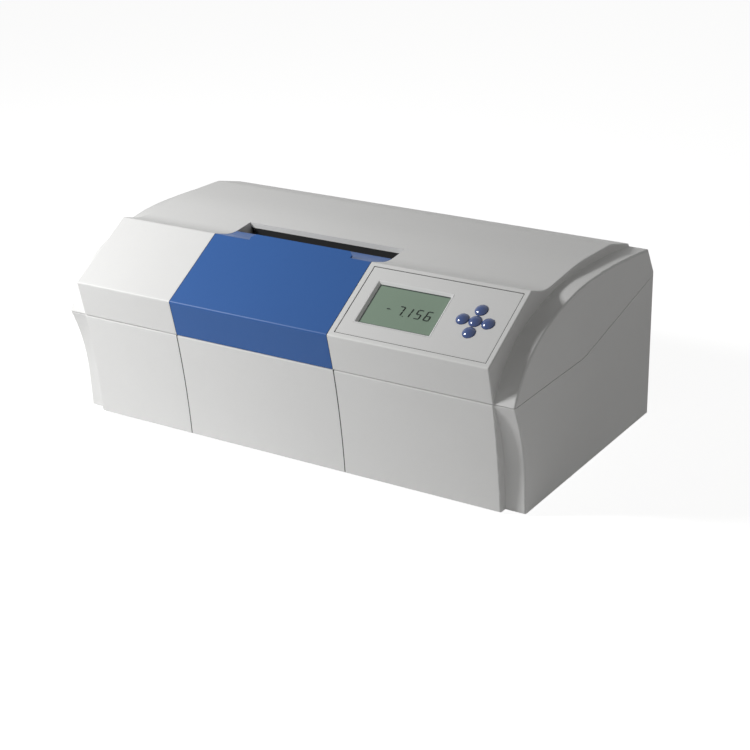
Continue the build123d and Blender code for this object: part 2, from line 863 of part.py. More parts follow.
with BuildPart() as beam_windows:
    for start in (chamber_left - window_ring_thick, chamber_right):
        along_x(start, window_glass_thick, beam_y, beam_z, chamber_window_radius)
save(beam_windows, "beam_windows")

# Tube cradle: two rails on two plates, which hold a sample tube on the beam
rail_centre = cradle_rail_radius + tube_rest_radius
rail_z = beam_z - (rail_centre ** 2 - cradle_rail_spread ** 2) ** 0.5
rail_left = chamber_left + chamber_sheet + cradle_rail_inset
rail_right = chamber_right - chamber_sheet - cradle_rail_inset
with BuildPart() as tube_cradle:
    for side in (-1, 1):
        along_x(rail_left, rail_right - rail_left, beam_y + side * cradle_rail_spread, rail_z,
                cradle_rail_radius)
    for x in (rail_left + cradle_plate_inset, rail_right - cradle_plate_inset):
        block(
            (x - cradle_plate / 2, beam_y - cradle_plate_half, bench_top + chamber_sheet),
            (x + cradle_plate / 2, beam_y + cradle_plate_half, rail_z),
        )
save(tube_cradle, "tube_cradle")

# Optical bench: a cast beam on four legs that stand on the base plate
bench_low_y = beam_y - bench_width / 2
bench_high_y = beam_y + bench_width / 2
with BuildPart() as optical_bench:
    block((bench_left, bench_low_y, bench_top - bench_thick), (bench_right, bench_high_y, bench_top))
    for x in (bench_left + bench_leg_inset, bench_right - bench_leg_inset - bench_leg):
        for y in (bench_low_y, bench_high_y - bench_leg):
            block((x, y, floor_z), (x + bench_leg, y + bench_leg, bench_top))
save(optical_bench, "optical_bench")

# Lamp house: a vented sheet box on the bench, open to the beam on one side
with BuildPart() as lamp_house:
    block(
        (lamp_left, beam_y - lamp_house_width / 2, bench_top),
        (lamp_right, beam_y + lamp_house_width / 2, bench_top + lamp_house_height),
    )
    block(
        (lamp_left + lamp_sheet, beam_y - lamp_house_width / 2 + lamp_sheet, bench_top + lamp_sheet),
        (lamp_right - lamp_sheet, beam_y + lamp_house_width / 2 - lamp_sheet,
         bench_top + lamp_house_height - lamp_sheet),
        mode=Mode.SUBTRACT,
    )
    along_x(lamp_right - 2 * lamp_sheet, far, beam_y, beam_z, beam_radius, mode=Mode.SUBTRACT)
    with BuildSketch(Plane.XY.offset(bench_top + lamp_house_height)):
        with Locations(((lamp_left + lamp_right) / 2, beam_y)):
            with GridLocations(vent_pitch, 0, lamp_vents, 1):
                SlotOverall(lamp_house_width / 2, vent_width, rotation=90)
    extrude(amount=-2 * lamp_sheet, mode=Mode.SUBTRACT)
save(lamp_house, "lamp_house")

lamp_x = (lamp_left + lamp_right) / 2
with BuildPart() as lamp_socket:
    upright(lamp_x, beam_y, bench_top + lamp_sheet, socket_height, socket_radius)
save(lamp_socket, "lamp_socket")

with BuildPart() as sodium_lamp:
    upright(lamp_x, beam_y, bench_top + lamp_sheet + socket_height, lamp_length, lamp_radius)
    fillet(sodium_lamp.edges().sort_by(Axis.Z)[-1], radius=lamp_radius - lamp_sheet)
save(sodium_lamp, "sodium_lamp")


def ring_mount(label, start, length, bore):
    """A ring round the beam on a plinth that stands on the bench."""
    with BuildPart() as mount:
        along_x(start, length, beam_y, beam_z, barrel_radius)
        block((start, beam_y - plinth_half, bench_top), (start + length, beam_y + plinth_half, beam_z))
        along_x(start, length, beam_y, beam_z, bore, mode=Mode.SUBTRACT)
    save(mount, label)


def beam_disc(label, start, length, radius):
    """A round piece centred on the beam."""
    with BuildPart() as disc:
        along_x(start, length, beam_y, beam_z, radius)
    save(disc, label)


lens_radius = barrel_radius - barrel_wall
ring_mount("condenser_barrel", condenser_left, condenser_length, lens_radius)
ring_mount("polariser_mount", polariser_x - mount_length / 2, mount_length, film_radius)
ring_mount("filter_holder", filter_x, filter_length, filter_radius)
beam_disc("polariser_film", polariser_x - film_thick / 2, film_thick, film_radius)
beam_disc("interference_filter", filter_x + (filter_length - filter_thick) / 2, filter_thick, filter_radius)
beam_disc("faraday_rod", coil_left - rod_overhang, coil_right - coil_left + 2 * rod_overhang, rod_radius)

# Condenser lens: bulged on both faces
lens_x = condenser_left + condenser_length / 2
with BuildPart() as condenser_lens:
    with BuildSketch(Plane(origin=(lens_x, beam_y, beam_z), x_dir=(1, 0, 0), z_dir=(0, -1, 0))):
        with BuildLine():
            face = TangentArc((-lens_thick / 2 - lens_bulge, 0), (-lens_thick / 2, lens_radius), tangent=(0, 1))
            rim = Line(face @ 1, (lens_thick / 2, lens_radius))
            other = TangentArc((lens_thick / 2 + lens_bulge, 0), rim @ 1, tangent=(0, 1))
            Line(other @ 0, face @ 0)
        make_face()
    revolve(axis=Axis((lens_x, beam_y, beam_z), (1, 0, 0)))
save(condenser_lens, "condenser_lens")

# Faraday modulator: a bobbin on the bench, its winding, and a glass rod on the beam
with BuildPart() as faraday_bobbin:
    along_x(coil_left, coil_right - coil_left, beam_y, beam_z, bobbin_core)
    for start in (coil_left, coil_right - bobbin_flange_thick):
        along_x(start, bobbin_flange_thick, beam_y, beam_z, bobbin_flange)
        block(
            (start, beam_y - bobbin_core, bench_top),
            (start + bobbin_flange_thick, beam_y + bobbin_core, beam_z),
        )
    along_x(coil_left, coil_right - coil_left, beam_y, beam_z, rod_radius, mode=Mode.SUBTRACT)
save(faraday_bobbin, "faraday_bobbin")

winding_left = coil_left + bobbin_flange_thick
winding_length = coil_right - coil_left - 2 * bobbin_flange_thick
with BuildPart() as faraday_winding:
    along_x(winding_left, winding_length, beam_y, beam_z, bobbin_flange - bobbin_flange_thick)
    along_x(winding_left, winding_length, beam_y, beam_z, bobbin_core, mode=Mode.SUBTRACT)
save(faraday_winding, "faraday_winding")

# Analyser bracket and bearing: the hub of the analyser gear turns in them
bracket_left = chamber_right + window_ring_thick + hub_overhang
bearing_bore = hub_radius + bearing_running_gap
bearing_radius = bearing_bore + bearing_wall
bracket_half = bearing_radius + bracket_margin
with BuildPart() as analyser_bracket:
    block(
        (bracket_left, beam_y - bracket_half, bench_top),
        (bracket_left + bracket_thick, beam_y + bracket_half, beam_z + bracket_half),
    )
    along_x(bracket_left, bracket_thick, beam_y, beam_z, bearing_radius, mode=Mode.SUBTRACT)
save(analyser_bracket, "analyser_bracket")

with BuildPart() as analyser_bearing:
    along_x(bracket_left, bracket_thick, beam_y, beam_z, bearing_radius)
    along_x(bracket_left, bracket_thick, beam_y, beam_z, bearing_bore, mode=Mode.SUBTRACT)
save(analyser_bearing, "analyser_bearing")


def involute(angle):
    """The involute function of a pressure angle in radians."""
    return tan(angle) - angle


def gear_face_sketch(teeth, origin, turn):
    """A spur gear's face across the beam, its first tooth turned this far from +Y."""
    pitch_radius = gear_module * teeth / 2
    base_radius = pitch_radius * cos(radians(pressure_angle))
    tip_radius = pitch_radius + gear_addendum * gear_module
    root_radius = pitch_radius - (gear_addendum + gear_clearance) * gear_module
    flank_foot = max(base_radius, root_radius)
    pitch_half = pi / (2 * teeth) - gear_backlash / (4 * pitch_radius)

    def flank(radius, side, tooth):
        """Point of a tooth's flank at a radius."""
        roll = acos(min(1, base_radius / radius))
        half = pitch_half + involute(radians(pressure_angle)) - involute(roll)
        angle = tooth + side * half
        return (radius * cos(angle), radius * sin(angle))

    with BuildSketch(Plane(origin=origin, x_dir=(0, 1, 0), z_dir=(1, 0, 0))) as face:
        Circle(root_radius)
        for number in range(teeth):
            tooth = radians(turn) + 2 * pi * number / teeth
            spread = pitch_half + involute(radians(pressure_angle))
            heights = [flank_foot + (tip_radius - flank_foot) * step / flank_steps
                       for step in range(flank_steps + 1)]
            root = [(root_radius * root_bite * cos(tooth + side * spread),
                     root_radius * root_bite * sin(tooth + side * spread)) for side in (-1, 1)]
            with BuildLine():
                rising = Polyline(root[0], *[flank(radius, -1, tooth) for radius in heights])
                falling = Polyline(*[flank(radius, 1, tooth) for radius in reversed(heights)], root[1])
                Line(rising @ 1, falling @ 0)
                Line(falling @ 1, rising @ 0)
            make_face()
    return face.sketch


# Analyser gear: a wide spur gear on a hollow hub, with the analyser film inside the hub
gear_left = analyser_x - gear_face / 2
hub_left = bracket_left - hub_overhang / 2
with BuildPart() as analyser_gear:
    extrude(gear_face_sketch(gear_teeth, (gear_left, beam_y, beam_z), 0), amount=gear_face)
    along_x(hub_left, gear_left - hub_left, beam_y, beam_z, hub_radius)
    along_x(hub_left, far, beam_y, beam_z, hub_bore, mode=Mode.SUBTRACT)
save(analyser_gear, "analyser_gear")
beam_disc("analyser_film", analyser_x - film_thick / 2, film_thick, hub_bore)

# Motor pinion on its shaft, beside the gear
pinion_y = beam_y + gear_module * (gear_teeth + pinion_teeth) / 2
pinion_left = analyser_x - pinion_face / 2
motor_left = pinion_left + pinion_face + motor_gap
with BuildPart() as motor_pinion:
    half_pitch = 180 / pinion_teeth
    extrude(gear_face_sketch(pinion_teeth, (pinion_left, pinion_y, beam_z), half_pitch), amount=pinion_face)
    along_x(pinion_left, motor_left + motor_gap - pinion_left, pinion_y, beam_z, motor_shaft_radius)
save(motor_pinion, "motor_pinion")

with BuildPart() as servo_motor:
    along_x(motor_left, motor_length, pinion_y, beam_z, motor_radius)
    along_x(motor_left, 2 * motor_gap, pinion_y, beam_z,
            motor_shaft_radius + motor_shaft_gap, mode=Mode.SUBTRACT)
    block(
        (motor_left, pinion_y - motor_radius, beam_z - motor_radius),
        (motor_left + motor_gap, pinion_y + motor_radius, beam_z),
    )
    along_x(motor_left, motor_gap, pinion_y, beam_z,
            motor_shaft_radius + motor_shaft_gap, mode=Mode.SUBTRACT)
save(servo_motor, "servo_motor")

# Motor bracket: an angle on the bench with the motor on its upright side
with BuildPart() as motor_bracket:
    block(
        (motor_left - motor_sheet, bench_high_y - motor_radius, bench_top),
        (motor_left, pinion_y + motor_radius, beam_z + motor_radius),
    )
    block(
        (motor_left, bench_high_y - motor_radius, bench_top),
        (motor_left + motor_length, bench_high_y, bench_top + motor_sheet),
    )
    along_x(motor_left - motor_sheet, motor_sheet, pinion_y, beam_z,
            2 * motor_shaft_radius, mode=Mode.SUBTRACT)
save(motor_bracket, "motor_bracket")

# Detector: a shielded tube house on the bench with the photomultiplier in its socket
tube_house_right = tube_house_left + tube_house_length
with BuildPart() as detector_housing:
    along_x(tube_house_left, tube_house_length, beam_y, beam_z, tube_house_radius)
    block(
        (tube_house_left, beam_y - plinth_half, bench_top),
        (tube_house_right, beam_y + plinth_half, beam_z),
    )
    along_x(tube_house_left + tube_house_wall, tube_house_length - 2 * tube_house_wall, beam_y, beam_z,
            tube_house_radius - tube_house_wall, mode=Mode.SUBTRACT)
    along_x(tube_house_left, tube_house_wall, beam_y, beam_z, beam_radius, mode=Mode.SUBTRACT)
save(detector_housing, "detector_housing")
cap_left = tube_house_right - tube_house_wall - tube_cap_length
beam_disc("detector_socket", cap_left, tube_cap_length, tube_house_radius - tube_house_wall)
beam_disc("photomultiplier", cap_left - tube_length, tube_length, tube_radius)

# Main board on its standoffs
board_level = floor_z + board_lift
with BuildPart() as board_standoffs:
    for x in (board_left + standoff_inset, board_right - standoff_inset):
        for y in (board_front + standoff_inset, board_rear - standoff_inset):
            upright(x, y, floor_z, board_lift, standoff_radius)
save(board_standoffs, "board_standoffs")

with BuildPart() as main_board:
    block((board_left, board_front, board_level), (board_right, board_rear, board_level + board_thick))
    with Locations(((board_left + board_right) / 2, (board_front + board_rear) / 2, board_level + board_thick)):
        with GridLocations(chip_pitch, chip_pitch, chip_columns, chip_rows):
            Box(chip_length, chip_width, chip_height, align=(Align.CENTER, Align.CENTER, Align.MIN))
save(main_board, "main_board")


def iron_core(label, left, right, front, rear, height):
    """A laminated iron core with its coil standing proud of it at the front and back."""
    core_front = front + coil_proud
    core_rear = rear - coil_proud
    with BuildPart() as core:
        block((left, core_front, floor_z), (right, core_rear, floor_z + height))
        block(
            (left + coil_margin, front, floor_z + coil_margin),
            (right - coil_margin, rear, floor_z + height - coil_margin),
        )
        fillet(core.edges().filter_by(Axis.Z).sort_by(Axis.Y)[:2], radius=coil_round)
        fillet(core.edges().filter_by(Axis.Z).sort_by(Axis.Y)[-2:], radius=coil_round)
    save(core, label)


iron_core("mains_transformer", transformer_left, transformer_right,
          transformer_front, transformer_rear, transformer_height)
iron_core("lamp_ballast", ballast_left, ballast_right, ballast_front, ballast_rear, ballast_height)

with BuildPart() as high_voltage_module:
    block(
        (high_voltage_left, high_voltage_front, floor_z),
        (high_voltage_right, high_voltage_rear, floor_z + high_voltage_height),
    )
    fillet(high_voltage_module.edges().filter_by(Axis.Z), radius=coil_round)
save(high_voltage_module, "high_voltage_module")


def panel_rectangle(x, height, width, tall):
    """A rectangle on the back wall, this far up the wall."""
    with Locations((-x, height)):
        Rectangle(width, tall)


# Rear panel: a black plate behind the opening in the back wall
panel_face = back_plane.offset(-case_wall)
rocker_spots = {"power_rocker": power_rocker_x, "lamp_rocker": lamp_rocker_x}
frame_body = (rocker_width + rocker_frame, rocker_height + rocker_frame)
with BuildPart() as rear_panel:
    with BuildSketch(panel_face):
        with Locations(rear_panel_middle):
            Rectangle(rear_panel_width, rear_panel_height)
        with Locations((-inlet_x, fitting_row)):
            Rectangle(inlet_width - 2 * inlet_flange, inlet_height - 2 * inlet_lug, mode=Mode.SUBTRACT)
        with Locations((-fuse_x, fitting_row)):
            Circle(fuse_radius - inlet_flange / 2, mode=Mode.SUBTRACT)
        for x in rocker_spots.values():
            with Locations((-x, fitting_row)):
                Rectangle(*frame_body, mode=Mode.SUBTRACT)
        with Locations((-serial_x, fitting_row)):
            Rectangle(serial_width - inlet_flange, serial_height - 2 * inlet_lug, mode=Mode.SUBTRACT)
    extrude(amount=-rear_panel_thick)
save(rear_panel, "rear_panel")

# Power inlet: a moulded socket with three pins
with BuildPart() as power_inlet:
    with BuildSketch(panel_face):
        panel_rectangle(inlet_x, fitting_row, inlet_width, inlet_height)
    extrude(amount=inlet_flange)
    with BuildSketch(panel_face):
        panel_rectangle(inlet_x, fitting_row, inlet_width - 2 * inlet_flange, inlet_height - 2 * inlet_lug)
    extrude(amount=-inlet_depth)
    with BuildSketch(panel_face.offset(inlet_flange)):
        panel_rectangle(inlet_x, fitting_row, inlet_mouth_width, inlet_mouth_height)
    extrude(amount=-inlet_mouth_depth, mode=Mode.SUBTRACT)
    with BuildSketch(panel_face.offset(inlet_flange - inlet_mouth_depth)):
        for side, rise in ((-1, -1), (1, -1), (0, 1)):
            with Locations((-inlet_x + side * inlet_pin_pitch, fitting_row + rise * inlet_pin_rise)):
                Rectangle(inlet_pin_thick, inlet_pin_width)
    extrude(amount=inlet_pin_length)
save(power_inlet, "power_inlet")

with BuildPart() as fuse_holder:
    with BuildSketch(panel_face):
        with Locations((-fuse_x, fitting_row)):
            Circle(fuse_radius)
    extrude(amount=fuse_proud)
    chamfer(fuse_holder.faces().sort_by(Axis.Y)[-1].edges(), length=rocker_frame_proud / 2)
    with BuildSketch(panel_face):
        with Locations((-fuse_x, fitting_row)):
            Circle(fuse_radius - inlet_flange / 2)
    extrude(amount=-fuse_depth)
save(fuse_holder, "fuse_holder")

with BuildPart() as serial_connector:
    with BuildSketch(panel_face):
        panel_rectangle(serial_x, fitting_row, serial_width, serial_height)
    extrude(amount=rear_panel_thick)
    with BuildSketch(panel_face):
        panel_rectangle(serial_x, fitting_row, serial_width - inlet_flange, serial_height - 2 * inlet_lug)
    extrude(amount=serial_proud)
    with BuildSketch(panel_face):
        panel_rectangle(serial_x, fitting_row, serial_width - inlet_flange, serial_height - 2 * inlet_lug)
    extrude(amount=-serial_depth)
save(serial_connector, "serial_connector")

# Rocker frames: a flange, a hollow body behind the panel, and the pin that the rocker turns on
rocker_reach = rocker_height / 2 - rocker_gap
with BuildPart() as rocker_frames:
    for x in rocker_spots.values():
        with BuildSketch(panel_face):
            panel_rectangle(x, fitting_row, rocker_width + 2 * rocker_frame, rocker_height + 2 * rocker_frame)
        extrude(amount=rocker_frame_proud)
        with BuildSketch(panel_face):
            panel_rectangle(x, fitting_row, *frame_body)
        extrude(amount=-rocker_depth)
        with BuildSketch(panel_face.offset(rocker_frame_proud)):
            panel_rectangle(x, fitting_row, rocker_width, rocker_height)
        extrude(amount=-rocker_depth, mode=Mode.SUBTRACT)
    for x in rocker_spots.values():
        pin_centre = panel_face.from_local_coords((-x, fitting_row, -rocker_pin_depth))
        along_x(x - rocker_width / 2, rocker_width, pin_centre.Y, pin_centre.Z, rocker_pin_radius)
save(rocker_frames, "rocker_frames")


def make_rocker(label, x):
    """A rocker with two wings, resting with its lower wing pressed in."""
    pin_centre = panel_face.from_local_coords((-x, fitting_row, -rocker_pin_depth))
    start = x - rocker_width / 2 + rocker_gap
    width = rocker_width - 2 * rocker_gap
    centre_height = rocker_pin_depth + rocker_frame_proud - rocker_reach * tan(radians(rocker_tilt))
    wing_height = rocker_pin_depth + rocker_frame_proud
    tilted = Plane(
        origin=(start, pin_centre.Y, pin_centre.Z),
        x_dir=panel_face.y_dir.rotate(Axis.X, -rocker_tilt),
        z_dir=(1, 0, 0),
    )
    with BuildPart() as rocker:
        with BuildSketch(tilted):
            with BuildLine():
                Polyline(
                    (-rocker_reach, 0),
                    (-rocker_reach, -wing_height),
                    (0, -centre_height),
                    (rocker_reach, -wing_height),
                    (rocker_reach, 0),
                    close=True,
                )
            make_face()
            Circle(rocker_reach, mode=Mode.INTERSECT)
            Circle(rocker_pin_radius + rocker_pin_wall)
            Circle(rocker_pin_radius + rocker_pin_gap, mode=Mode.SUBTRACT)
        extrude(amount=width)
    save(rocker, label)


for label, x in rocker_spots.items():
    make_rocker(label, x)
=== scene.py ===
from math import cos, pi, radians, sin

import bpy
from mathutils import Matrix, Vector


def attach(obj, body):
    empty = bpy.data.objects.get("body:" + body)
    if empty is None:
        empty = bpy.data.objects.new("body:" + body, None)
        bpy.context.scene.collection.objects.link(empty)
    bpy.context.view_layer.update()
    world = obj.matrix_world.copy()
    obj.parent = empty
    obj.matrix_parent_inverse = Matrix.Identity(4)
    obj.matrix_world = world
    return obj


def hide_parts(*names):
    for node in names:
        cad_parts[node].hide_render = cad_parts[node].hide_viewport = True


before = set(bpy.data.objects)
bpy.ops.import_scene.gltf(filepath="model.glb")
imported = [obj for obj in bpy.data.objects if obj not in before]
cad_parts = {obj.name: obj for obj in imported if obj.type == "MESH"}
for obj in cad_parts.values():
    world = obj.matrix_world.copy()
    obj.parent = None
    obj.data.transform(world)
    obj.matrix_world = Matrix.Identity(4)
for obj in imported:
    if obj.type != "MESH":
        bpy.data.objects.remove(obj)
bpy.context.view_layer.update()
bpy.context.scene.view_settings.view_transform = "Standard"


# Base plate and its screws: zinc-plated steel sheet, laser cut and drilled, set up inside the lower housing.
# The screws come up from below and hold the plate and the feet.
def group_sockets(name, inputs, outputs):
    """A shader node group with named sockets, and its input and output nodes."""
    group = bpy.data.node_groups.new(name, "ShaderNodeTree")
    for label, kind, value in inputs:
        socket = group.interface.new_socket(name=label, in_out="INPUT", socket_type=kind)
        socket.default_value = value
    for label, kind in outputs:
        group.interface.new_socket(name=label, in_out="OUTPUT", socket_type=kind)
    return group, group.nodes.new("NodeGroupInput"), group.nodes.new("NodeGroupOutput")


def node(tree, kind, **settings):
    """A new node in a tree, with its settings."""
    made = tree.nodes.new(kind)
    for key, value in settings.items():
        setattr(made, key, value)
    return made


def calc(tree, operation, first, second=None, third=None, clamp=False):
    """A Math node; each entry is a socket or a number."""
    made = node(tree, "ShaderNodeMath", operation=operation, use_clamp=clamp)
    for place, entry in enumerate((first, second, third)):
        if isinstance(entry, (int, float)):
            made.inputs[place].default_value = entry
        elif entry is not None:
            tree.links.new(entry, made.inputs[place])
    return made.outputs[0]


def noise(tree, vector, scale, detail, roughness=0.5):
    """A Noise Texture's value; the scale is a socket or a number."""
    made = node(tree, "ShaderNodeTexNoise")
    tree.links.new(vector, made.inputs["Vector"])
    if isinstance(scale, (int, float)):
        made.inputs["Scale"].default_value = scale
    else:
        tree.links.new(scale, made.inputs["Scale"])
    made.inputs["Detail"].default_value = detail
    made.inputs["Roughness"].default_value = roughness
    return made.outputs["Fac"]


def blend_colour(tree, share, first, second):
    """A Mix node for colours; each entry is a socket or a value."""
    made = node(tree, "ShaderNodeMix", data_type="RGBA", blend_type="MIX")
    for socket, entry in ((made.inputs[0], share), (made.inputs[6], first), (made.inputs[7], second)):
        if isinstance(entry, (int, float, tuple)):
            socket.default_value = entry
        else:
            tree.links.new(entry, socket)
    return made.outputs[2]


COLOUR = "NodeSocketColor"
NUMBER = "NodeSocketFloat"
VECTOR = "NodeSocketVector"

# The skin of a drawn or rolled metal: fine lines along one direction, patches of duller plating
drawn_metal, given, result = group_sockets(
    "drawn_metal",
    [("Colour", COLOUR, (0.6, 0.6, 0.6, 1)), ("Dull colour", COLOUR, (0.45, 0.45, 0.45, 1)),
     ("Roughness", NUMBER, 0.35), ("Stretch", VECTOR, (20, 900, 900)),
     ("Line height", NUMBER, 0.1)],
    [("Colour", COLOUR), ("Roughness", NUMBER), ("Normal", VECTOR)],
)
place = node(drawn_metal, "ShaderNodeTexCoord").outputs["Object"]
stretched = node(drawn_metal, "ShaderNodeVectorMath", operation="MULTIPLY")
drawn_metal.links.new(place, stretched.inputs[0])
drawn_metal.links.new(given.outputs["Stretch"], stretched.inputs[1])
lines = noise(drawn_metal, stretched.outputs[0], scale=1.0, detail=3.0, roughness=0.6)
patches = noise(drawn_metal, place, scale=34.0, detail=4.0, roughness=0.6)
edge = node(drawn_metal, "ShaderNodeAttribute", attribute_name="edge").outputs["Fac"]
dullness = calc(drawn_metal, "MULTIPLY", patches, calc(drawn_metal, "SUBTRACT", 1.0, edge))
drawn_metal.links.new(
    blend_colour(drawn_metal, dullness, given.outputs["Colour"], given.outputs["Dull colour"]),
    result.inputs["Colour"],
)
spread = calc(drawn_metal, "MULTIPLY_ADD", lines, 0.16, -0.08)
spread = calc(drawn_metal, "ADD", spread, calc(drawn_metal, "MULTIPLY_ADD", patches, 0.2, -0.1))
drawn_metal.links.new(
    calc(drawn_metal, "ADD", given.outputs["Roughness"], spread, clamp=True), result.inputs["Roughness"]
)
bump = node(drawn_metal, "ShaderNodeBump")
bump.inputs["Distance"].default_value = 0.0004
drawn_metal.links.new(given.outputs["Line height"], bump.inputs["Strength"])
drawn_metal.links.new(lines, bump.inputs["Height"])
drawn_metal.links.new(bump.outputs[0], result.inputs["Normal"])


def surface(name, group, values, wires, settings):
    """A material: one node group with its own values, wired to a Principled BSDF with its own settings."""
    material = bpy.data.materials.new(name)
    material.use_nodes = True
    tree = material.node_tree
    shader = tree.nodes["Principled BSDF"]
    skin = node(tree, "ShaderNodeGroup", node_tree=group)
    for label, value in values.items():
        skin.inputs[label].default_value = value
    for source, target in wires.items():
        tree.links.new(skin.outputs[source], shader.inputs[target])
    for label, value in settings.items():
        shader.inputs[label].default_value = value
    return material


SKIN_WIRES = {"Colour": "Base Color", "Roughness": "Roughness", "Normal": "Normal"}


def metal(name, colour, dull, roughness, stretch, line_height):
    """A bare metal with lines along one direction."""
    return surface(
        name, drawn_metal,
        {"Colour": (*colour, 1), "Dull colour": (*dull, 1), "Roughness": roughness,
         "Stretch": stretch, "Line height": line_height},
        SKIN_WIRES, {"Metallic": 1.0},
    )


def dress(names, material):
    """Gives CAD nodes their finish."""
    for name in names:
        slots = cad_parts[name].data.materials
        slots.clear()
        slots.append(material)


EDGE_ROWS = 2
SHARP_TURN = radians(35)
JOIN_WITHIN = 2e-6
FLAT_WITHIN = radians(0.4)


def rounded(label, name, body, material, radius, lipped=False):
    """The moulding or pressing of a node as its own piece: faces joined, sharp edges rounded."""
    bpy.ops.object.select_all(action="DESELECT")
    piece = bpy.data.objects.new(label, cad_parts[name].data.copy())
    piece.data.name = label
    bpy.context.scene.collection.objects.link(piece)
    piece.select_set(True)
    bpy.context.view_layer.objects.active = piece
    bpy.ops.mesh.customdata_custom_splitnormals_clear()
    bpy.ops.object.mode_set(mode="EDIT")
    bpy.ops.mesh.select_all(action="SELECT")
    bpy.ops.mesh.remove_doubles(threshold=JOIN_WITHIN)
    bpy.ops.mesh.dissolve_limited(angle_limit=FLAT_WITHIN)
    bpy.ops.object.mode_set(mode="OBJECT")
    if lipped:
        roll_front_lip(piece)
    piece.data.materials.clear()
    piece.data.materials.append(material)
    piece.data.materials.append(material)
    for face in piece.data.polygons:
        face.material_index = 0
    bpy.ops.object.modifier_add(type="BEVEL")
    bevel = piece.modifiers[-1]
    bevel.width = radius
    bevel.segments = EDGE_ROWS
    bevel.limit_method = "ANGLE"
    bevel.angle_limit = SHARP_TURN
    bevel.material = 1
    bpy.ops.object.modifier_apply(modifier=bevel.name)
    edge = piece.data.attributes.new("edge", "FLOAT", "FACE")
    edge.data.foreach_set("value", [float(face.material_index) for face in piece.data.polygons])
    for face in piece.data.polygons:
        face.material_index = 0
    piece.data.materials.pop(index=1)
    bpy.ops.object.shade_smooth_by_angle(angle=SHARP_TURN)
    bpy.ops.object.modifier_add(type="WEIGHTED_NORMAL")
    piece.modifiers[-1].keep_sharp = True
    bpy.ops.object.modifier_apply(modifier=piece.modifiers[-1].name)
    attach(piece, body)
    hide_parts(name)
    return piece


plated_steel = metal(
    "plated_steel", colour=(0.60, 0.60, 0.59), dull=(0.44, 0.45, 0.46),
    roughness=0.36, stretch=(14, 900, 900), line_height=0.12,
)
dress(["base_plate", "case_screws"], plated_steel)


# Feet: moulded rubber pads, screwed through the base plate; the lid's bumpers are the same rubber.
# All mouldings share one skin: fine spark-eroded grain, faint mottling and slightly polished edges.
moulded_skin, given, result = group_sockets(
    "moulded_skin",
    [("Colour", COLOUR, (0.8, 0.8, 0.8, 1)), ("Worn colour", COLOUR, (0.85, 0.85, 0.85, 1)),
     ("Mottle", NUMBER, 0.04), ("Roughness", NUMBER, 0.5), ("Spread", NUMBER, 0.1),
     ("Grain scale", NUMBER, 1500.0), ("Grain height", NUMBER, 0.1), ("Wear", NUMBER, 0.4)],
    [("Colour", COLOUR), ("Roughness", NUMBER), ("Normal", VECTOR)],
)
place = node(moulded_skin, "ShaderNodeTexCoord").outputs["Object"]
broad = noise(moulded_skin, place, scale=16.0, detail=3.0)
middle = noise(moulded_skin, place, scale=140.0, detail=3.0, roughness=0.6)
fine = noise(moulded_skin, place, given.outputs["Grain scale"], detail=3.0, roughness=0.55)
edge = node(moulded_skin, "ShaderNodeAttribute", attribute_name="edge").outputs["Fac"]
shade = calc(moulded_skin, "MULTIPLY", given.outputs["Mottle"],
             calc(moulded_skin, "ADD", broad, calc(moulded_skin, "MULTIPLY", middle, 0.5)))
toned = blend_colour(moulded_skin, shade, given.outputs["Colour"], (0, 0, 0, 1))
worn = calc(moulded_skin, "MULTIPLY", edge, calc(moulded_skin, "MULTIPLY", middle, given.outputs["Wear"]))
moulded_skin.links.new(
    blend_colour(moulded_skin, worn, toned, given.outputs["Worn colour"]), result.inputs["Colour"]
)
spread = calc(moulded_skin, "MULTIPLY", given.outputs["Spread"], calc(moulded_skin, "SUBTRACT", middle, 0.5))
polish = calc(moulded_skin, "MULTIPLY", worn, -0.25)
change = calc(moulded_skin, "ADD", spread, polish)
rough = calc(moulded_skin, "ADD", given.outputs["Roughness"], change, clamp=True)
moulded_skin.links.new(rough, result.inputs["Roughness"])
bump = node(moulded_skin, "ShaderNodeBump")
bump.inputs["Distance"].default_value = 0.0003
moulded_skin.links.new(given.outputs["Grain height"], bump.inputs["Strength"])
moulded_skin.links.new(fine, bump.inputs["Height"])
moulded_skin.links.new(bump.outputs[0], result.inputs["Normal"])


def moulding(name, colour, worn, roughness, scale, height, mottle=0.04, wear=0.4, spread=0.1, **settings):
    """A moulded plastic, rubber or paint with its own grain."""
    return surface(
        name, moulded_skin,
        {"Colour": (*colour, 1), "Worn colour": (*worn, 1), "Mottle": mottle, "Roughness": roughness,
         "Spread": spread, "Grain scale": scale, "Grain height": height, "Wear": wear},
        SKIN_WIRES, {key.replace("_", " "): value for key, value in settings.items()},
    )


black_rubber = moulding(
    "black_rubber", colour=(0.022, 0.022, 0.023), worn=(0.05, 0.05, 0.05),
    roughness=0.78, scale=900.0, height=0.25, mottle=0.2,
)
dress(["rubber_feet", "lid_bumpers"], black_rubber)


# Lower housing and front panel: off-white moulded plastic with a fine grain.
# The housing is one tub with flared side cheeks; the front panel drops in between the two dark joint lines.
case_plastic = moulding(
    "case_plastic", colour=(0.765, 0.765, 0.757), worn=(0.84, 0.84, 0.83),
    roughness=0.55, scale=1500.0, height=0.10, mottle=0.03, wear=0.5,
)
SEAM_HEIGHT = 0.1305
LIP_ROUND = 0.0026
LIP_ROOT_Y = -0.1538
LIP_TURNS = (0, 25, 48, 68)


